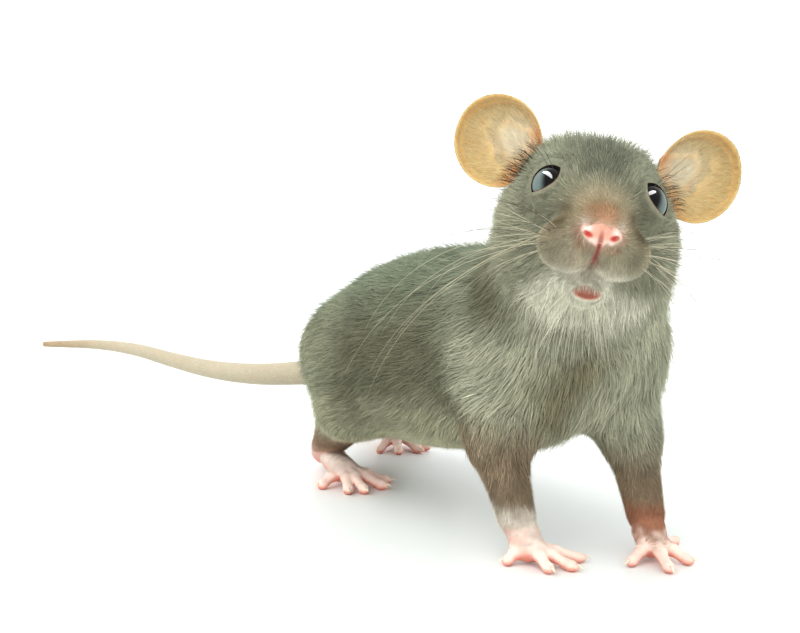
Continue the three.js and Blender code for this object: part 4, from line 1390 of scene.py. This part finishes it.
class Nodes:
    """Makes a material's nodes by short calls."""

    def __init__(self, name):
        self.material = bpy.data.materials.new(name)
        self.material.use_nodes = True
        self.tree = self.material.node_tree
        self.surface = self.tree.nodes["Principled BSDF"]

    def node(self, kind, **values):
        made = self.tree.nodes.new("ShaderNode" + kind)
        for key, value in values.items():
            if hasattr(made, key):
                setattr(made, key, value)
            else:
                made.inputs[key.replace("_", " ")].default_value = value
        return made

    def link(self, source, target):
        self.tree.links.new(source, target)

    def set(self, **values):
        for key, value in values.items():
            self.surface.inputs[key.replace("_", " ")].default_value = value

    def noise(self, scale, detail=3.0):
        where = self.node("TexCoord")
        made = self.node("TexNoise", Scale=scale, Detail=detail)
        self.link(where.outputs["Object"], made.inputs["Vector"])
        return made.outputs["Fac"]

    def tinted(self, sources, spread):
        """The tint attribute, made lighter and darker by noises."""
        colour = self.node("Attribute", attribute_name="tint").outputs["Color"]
        for source in sources:
            scaled = self.node("MapRange", To_Min=1 - spread, To_Max=1 + spread)
            self.link(source, scaled.inputs["Value"])
            grown = self.node("VectorMath", operation="SCALE")
            self.link(colour, grown.inputs[0])
            self.link(scaled.outputs["Result"], grown.inputs["Scale"])
            colour = grown.outputs["Vector"]
        self.link(colour, self.surface.inputs["Base Color"])

    def bump(self, source, strength, depth):
        made = self.node("Bump", Strength=strength, Distance=depth)
        self.link(source, made.inputs["Height"])
        self.link(made.outputs["Normal"], self.surface.inputs["Normal"])


def finished(name, noises, spread, bump=None, **values):
    """A material in the tint's colours; `bump` gives the first noise's strength and depth as relief."""
    make = Nodes(name)
    sources = [make.noise(*noise) for noise in noises]
    make.tinted(sources, spread)
    make.set(**values)
    if bump:
        make.bump(sources[0], *bump)
    return make.material


def under_coat_material():
    return finished(
        "skin_under_coat", [(1800,), (300,)], 0.25, (0.4, 0.00005), Roughness=0.85, Specular_IOR_Level=0.05)


def bare_material(name, grain, soft, roughness, weight=0.35):
    return finished(
        name, [(grain,), (grain / 5,)], 0.09, (0.5, 0.00006), Roughness=roughness, Specular_IOR_Level=0.3,
        Subsurface_Weight=weight, Subsurface_Scale=soft, Subsurface_Radius=(1.0, 0.35, 0.2))


def fur_material():
    return finished("fur", [(900, 2.0)], 0.10, Roughness=0.6, Specular_IOR_Level=0.1)


def eye_material():
    return finished(
        "eye", [(700,)], 0.15, Roughness=0.4, Specular_IOR_Level=0.0,
        Coat_Weight=1.0, Coat_Roughness=0.01, Coat_IOR=1.22)


def claw_material():
    return finished(
        "claw", [(1500,)], 0.08, Roughness=0.32, Subsurface_Weight=0.3, Subsurface_Scale=0.0006,
        Coat_Weight=0.3, Coat_Roughness=0.2)


def whisker_material():
    return finished("whisker", [(400,)], 0.08, Roughness=0.4, Specular_IOR_Level=0.5)


# ---------------------------------------------------------------- eyes, claws and whiskers

# The eye's dark, and the painted reflections of pale surroundings on its outer side and at its rim.
IRIS_DARK, EYE_HAZE_REFLECTION, EYE_RIM_REFLECTION = linear(6, 6, 5), linear(104, 117, 114), linear(178, 192, 182)
CORNEA_BULGE = 0.045
CLAW_ROOT, CLAW_TIP = linear(236, 190, 170), linear(238, 224, 200)
PALE_HAIR, DARK_HAIR = linear(186, 178, 150), linear(58, 48, 38)
CHIN_HAIR, BIB_HAIR = linear(216, 210, 188), linear(206, 202, 180)
WHISKER_ROWS = [
    # height on the pad, count, greatest length, and how far the row points up
    (-3.6, 5, 24, 0.40), (-5.2, 6, 34, 0.22), (-6.8, 7, 38, 0.06), (-8.4, 7, 32, -0.18),
    (-10.0, 6, 22, -0.42),
]
# Long hairs over the eye and on the cheek: the place, the length, and how far each points up.
BROW_HAIRS = ((8.6, -12.0, 5.2), 13, 0.8), ((9.6, -10.2, 5.0), 11, 0.7), ((10.5, -4.0, -3.0), 12, 0.1)


def build_eye(side):
    """An eyeball with a bulging cornea, dark on its inner side, with a painted reflection over its outer side
    and a paler painted reflection at its rim.
    """
    shape = bmesh.new()
    bmesh.ops.create_icosphere(shape, subdivisions=5, radius=1.0)
    points = np.array([v.co[:] for v in shape.verts])
    tris = np.array([[v.index for v in f.verts] for f in shape.faces])
    shape.free()
    bulge = 1 + CORNEA_BULGE * ramp(points @ EYE_OUT, 0.55, 1.0)
    local = (EYE_AT + points * (EYE_RADIUS * bulge)[:, None]) * (SIDES[side], 1, 1)
    thing = mesh_object(f"eyeball_{side}", from_head(local), tris[:, ::SIDES[side]])
    # The outer side is painted grey-blue and its rim paler: painted reflections.
    outer = points @ unit((SLIT_ALONG * 0.75 - SLIT_ACROSS * 0.65)[None])[0]
    reflection_tint = mixed(IRIS_DARK, EYE_HAZE_REFLECTION, ramp(outer, -0.22, 0.16))
    set_tint(thing, mixed(reflection_tint, EYE_RIM_REFLECTION, ramp(outer, 0.68, 0.93)))
    return thing


def merged(name, parts):
    """One object from many small meshes, each given as points, triangles and colours."""
    points, tris, colours = zip(*parts)
    starts = np.cumsum([0] + [len(p) for p in points])
    tris = [t + start for t, start in zip(tris, starts)]
    thing = mesh_object(name, np.concatenate(points), np.concatenate(tris))
    set_tint(thing, np.concatenate([np.broadcast_to(c, p.shape) for c, p in zip(colours, points)]))
    return thing


def claw(digit, radii):
    way = unit((digit[-1] - digit[-3])[None] * (1, 1, 0))[0]
    root = digit[-1] + (0, 0, radii[-1] * 0.35) - way * 0.3
    steps = np.linspace(0, 1, 7)
    course = root + way * (steps * (CLAW_LENGTH + 0.9))[:, None]
    course[:, 2] += 0.35 * np.sin(steps * 2.6) - 0.55 * steps ** 2
    course[:, 2] = np.maximum(course[:, 2], 0.25)
    points, tris = swept(course, 0.42 * (1 - steps) ** 0.7 + 0.04, 8, 0.85)
    return points, tris, mixed(CLAW_ROOT, CLAW_TIP, ramp((points - root) @ way, 0.4, 1.6))


def build_claws():
    return merged("claws", [claw(*digit) for digits, _, _ in FEET.values() for digit in digits])


def skin_spot(h, rounds=12):
    """The nearest place on the skin to a point of the head's frame, and the way out of the skin there."""
    p = from_head(h)[None]
    for _ in range(rounds):
        p, slope = stepped(p, plain_skin_shape)
    return p[0], unit(slope)[0]


def whisker(spot, toward, lean, length, curl, sag, thick, colour):
    """One whisker, out of the skin at a spot, then curving back by `curl` and down by `sag`."""
    root, out = skin_spot(vec(*spot))
    way = unit(unit(vec(*toward)[None]) @ HEAD_TURN.T + out * lean)[0]
    steps = np.linspace(0, 1, 18)
    back = HEAD_TURN @ vec(0, 1, 0)
    course = root - way * 0.6 + way * (length * (steps - 0.30 * steps ** 2))[:, None]
    course = course + (back * curl - vec(0, 0, sag)) * (length * steps ** 2)[:, None]
    return *swept(course, thick * (1 - steps) ** 0.7 + 0.008, 5), colour


def side_whiskers(draw, side):
    """One side's whiskers: those in rows, the long low ones, those of the brow and those of the chin."""
    sign = SIDES[side]
    for height, count, longest, up in WHISKER_ROWS:
        for i in range(count):
            share = (i + draw.uniform(-0.25, 0.25)) / (count - 1)
            spot = (sign * (9 + 0.2 * share), -22.2 + 7.4 * share, height + draw.uniform(-0.3, 0.3))
            toward = (sign, 0.05 + 0.55 * share, up + draw.uniform(-0.12, 0.12))
            length = longest * (0.35 + 0.7 * share) * draw.uniform(0.8, 1.1)
            shade = DARK_HAIR if draw.uniform() < 0.4 else PALE_HAIR
            yield spot, toward, 0.3, length, draw.uniform(0.2, 0.5), draw.uniform(0.05, 0.4), 0.027, shade
    for _ in range(6 if side == "right" else 3):
        spot = (sign * 8.8, draw.uniform(-20, -16.5), draw.uniform(-9.5, -6.5))
        toward = (sign, draw.uniform(-0.1, 0.3), draw.uniform(-0.9, -0.25))
        length, curl, sag = draw.uniform(34, 46), draw.uniform(0.1, 0.35), draw.uniform(0.2, 0.5)
        yield spot, toward, 0.2, length, curl, sag, 0.029, PALE_HAIR
    for (x, y, z), length, up in BROW_HAIRS:
        yield (sign * x, y, z), (sign * 0.7, 0.2, up), 0.4, length, 0.3, 0.05, 0.035, DARK_HAIR
    for _ in range(9):
        spot = (sign * draw.uniform(0.8, 4.6), -15.5, -15.5)
        toward = (sign * draw.uniform(0.1, 0.7), 0.1, -1.0)
        yield spot, toward, 0.5, draw.uniform(7, 16), 0.1, 0.2, 0.03, CHIN_HAIR


def bib_hairs(draw):
    """Fine hairs that hang from the throat."""
    for _ in range(60):
        spot = (draw.uniform(-11, 11), draw.uniform(-12, -4), draw.uniform(-28, -15))
        toward = (draw.uniform(-0.3, 0.3), -0.25, -1.0)
        yield spot, toward, 0.4, draw.uniform(8, 15), 0.05, draw.uniform(0, 0.2), 0.026, BIB_HAIR


def build_whiskers():
    draw = np.random.default_rng(77)
    hairs = [whisker(*hair) for side in SIDES for hair in side_whiskers(draw, side)]
    return merged("whiskers", hairs + [whisker(*hair) for hair in bib_hairs(draw)])


# ---------------------------------------------------------------- put together

FLESH = [
    "head", "neck", "trunk", "foreleg_left", "foreleg_right", "forepaw_left", "forepaw_right",
    "hindleg_left", "hindleg_right", "hind_foot_left", "hind_foot_right", "ear_left", "ear_right",
    "tail_base", "tail_middle", "tail_tip",
]


def build_skin():
    base = mesh_object("skin", *body_net())
    parts = [mesh_object("part", *foot_net(foot)) for foot in FEET]
    parts += [mesh_object("part", *ear_net(side)) for side in SIDES]
    parts.append(mesh_object("part", *tail_net()))
    return joined(base, parts)


def unwrap(thing):
    """Makes the map of the skin: its triangles, and their corners' spots on the map."""
    bpy.ops.object.select_all(action="DESELECT")
    bpy.context.view_layer.objects.active = thing
    thing.select_set(True)
    bpy.ops.object.mode_set(mode="EDIT")
    bpy.ops.mesh.select_all(action="SELECT")
    bpy.ops.mesh.quads_convert_to_tris()
    bpy.ops.uv.smart_project(angle_limit=1.1, island_margin=0.002)
    bpy.ops.object.mode_set(mode="OBJECT")
    layer = thing.data.uv_layers[0]
    layer.name = "OFBake"
    uv = np.empty(len(thing.data.loops) * 2, np.float32)
    layer.uv.foreach_get("vector", uv)
    corners = np.empty(len(thing.data.loops), np.int32)
    thing.data.loops.foreach_get("vertex_index", corners)
    return corners.reshape(-1, 3), uv.reshape(-1, 3, 2).astype(float)


def soften_joins(points, tris):
    """Rounds the crease where each ear and foot meets the body."""
    gap = np.abs(head_shape(to_head(points)) + coat_depth(points) - 0.4)
    u, y, w = in_ear(points)
    ear_root = fall(gap, 0.6, 1.8) * (np.hypot(u, w) < 1.15) * (np.abs(y - 1.5) < 4) * 0.6
    spots = [spot for _, _, (shank, _) in FEET.values() for spot in shank[1:]]
    wrist = np.maximum.reduce([fall(distance(points, spot), 3.2, 5.0) for spot in spots]) * 0.5
    wrist *= ramp(points[:, 2], 0.5, 1.5)
    return relaxed(points, tris, np.maximum(ear_root, wrist), 4)


skin = build_skin()
tris, corner_uv = unwrap(skin)
points = soften_joins(mesh_points(skin), tris)
skin.data.vertices.foreach_set("co", single(placed(points)))
set_tint(skin, in_chunks(skin_colour, points, vertex_normals(points, tris)))
for material in (
    under_coat_material(),
    bare_material("bare_skin", 1400, 0.0010, 0.45, 0.3),
    bare_material("ear_skin", 1600, 0.0010, 0.6, 0.25),
    bare_material("tail_skin", 1200, 0.0008, 0.5),
):
    skin.data.materials.append(material)
at = middles(points, tris)
kind = np.where((in_chunks(bareness, at) > 0.5) & (lid_share(mirrored_head(at)) < 0.5), 1, 0)
kind = np.where(in_chunks(ear_share, at) > 0.3, 2, kind)
kind = np.where(in_chunks(tail_share, at) > 0.5, 3, kind)
skin.data.polygons.foreach_set("material_index", kind.astype(np.int32))
skin.data.update()
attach(skin, "root")
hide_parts(*FLESH)

fur = fur_material()
for piece in build_coat(points, tris, corner_uv):
    piece.data.materials.append(fur)
    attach(piece, "root")

glossy = eye_material()
seen_alone = {side: bpy.data.collections.new(f"eye_alone_{side}") for side in SIDES}
for side in SIDES:
    eye = build_eye(side)
    seen_alone[side].objects.link(eye)
    eye.data.materials.append(glossy)
    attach(eye, "root")
    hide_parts(f"eye_{side}")

for build, material, slot in (
    (build_claws, claw_material, "claw"), (build_whiskers, whisker_material, "whisker"),
):
    piece = build()
    piece.data.materials.append(material())
    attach(piece, "root")


# ---------------------------------------------------------------- floor, light and camera

FLOOR_REACH = 4000.0  # millimetres
FLOOR_DARK, FLOOR_LIGHT = (0.80, 0.825, 0.81, 1), (0.82, 0.845, 0.83, 1)
SUN_WAY, SUN_STRENGTH, SUN_DISC = (0.6, 0.25, -1), 1.5, math.radians(55)
SKY_COLOUR, SKY_STRENGTH = (0.98, 1.0, 0.99, 1), 1.36
FACE_SPOT = placed(from_head(vec(0, -10, 0)))
EYE_LIGHT_GAP = 0.7  # metres from the face
# For each eye's lamp: the way to it from the face, its sizes in metres, and its power.
EYE_LIGHTS = {
    "right": ((-0.28, 0.1, 0.95), (1.1, 0.22), 42),
    "left": ((0.08, -0.42, 0.85), (0.75, 0.26), 32),
}
CAMERA_AT, CAMERA_WAY, CAMERA_DIP = vec(-133.3, -179.5, 58.0), vec(0.545, 0.839, 0), math.radians(4.26)
SENSOR, PICTURE_WIDTH, FOCAL_PIXELS = 36.0, 800, 1040


def facing(way):
    return Vector(way).to_track_quat("-Z", "Y").to_euler()


def floor():
    corners = [vec(x, y, 0) * FLOOR_REACH for x, y in ((-1, -1), (1, -1), (1, 1), (-1, 1))]
    thing = mesh_object("floor", np.array(corners), np.array([[0, 1, 2], [0, 2, 3]]))
    make = Nodes("floor")
    ramped = make.node("ValToRGB")
    for stop, colour in zip(ramped.color_ramp.elements, (FLOOR_DARK, FLOOR_LIGHT)):
        stop.color = colour
    make.link(make.noise(12), ramped.inputs["Fac"])
    make.link(ramped.outputs["Color"], make.surface.inputs["Base Color"])
    make.set(Roughness=0.35, Specular_IOR_Level=0.25)
    thing.data.materials.append(make.material)


def eye_light(side, way, size, power):
    """A lamp that is only seen as a highlight in one eye."""
    data = bpy.data.lights.new(f"eye_light_{side}", "AREA")
    data.shape, data.energy = "ELLIPSE", power
    data.size, data.size_y = size
    lamp = linked(bpy.data.objects.new(data.name, data))
    lamp.location = FACE_SPOT + EYE_LIGHT_GAP * unit(vec(*way)[None])[0]
    lamp.rotation_euler = facing(-vec(*way))
    lamp.visible_diffuse = False
    lamp.light_linking.receiver_collection = seen_alone[side]


def sun_light():
    data = bpy.data.lights.new("overhead", "SUN")
    data.energy, data.angle = SUN_STRENGTH, SUN_DISC
    lamp = linked(bpy.data.objects.new("overhead", data))
    lamp.location = (0, 0, 1)
    lamp.visible_glossy = False  # its wide disc would show as a grey patch in the eyes
    lamp.rotation_euler = facing(SUN_WAY)


def sky():
    world = bpy.data.worlds.new("studio")
    world.use_nodes = True
    inputs = world.node_tree.nodes["Background"].inputs
    inputs["Color"].default_value, inputs["Strength"].default_value = SKY_COLOUR, SKY_STRENGTH
    bpy.context.scene.world = world


def photo_camera():
    lens = bpy.data.cameras.new("camera")
    lens.sensor_width, lens.lens = SENSOR, SENSOR * FOCAL_PIXELS / PICTURE_WIDTH
    lens.clip_start, lens.clip_end = 0.005, 50
    camera = linked(bpy.data.objects.new("camera", lens))
    camera.location = placed(CAMERA_AT)
    level = unit(CAMERA_WAY[None])[0] * math.cos(CAMERA_DIP)
    camera.rotation_euler = facing(level - vec(0, 0, math.sin(CAMERA_DIP)))
    bpy.context.scene.camera = camera


floor()
sun_light()
for side, lamp in EYE_LIGHTS.items():
    eye_light(side, *lamp)
sky()
photo_camera()
bpy.context.scene.view_settings.view_transform = "Standard"
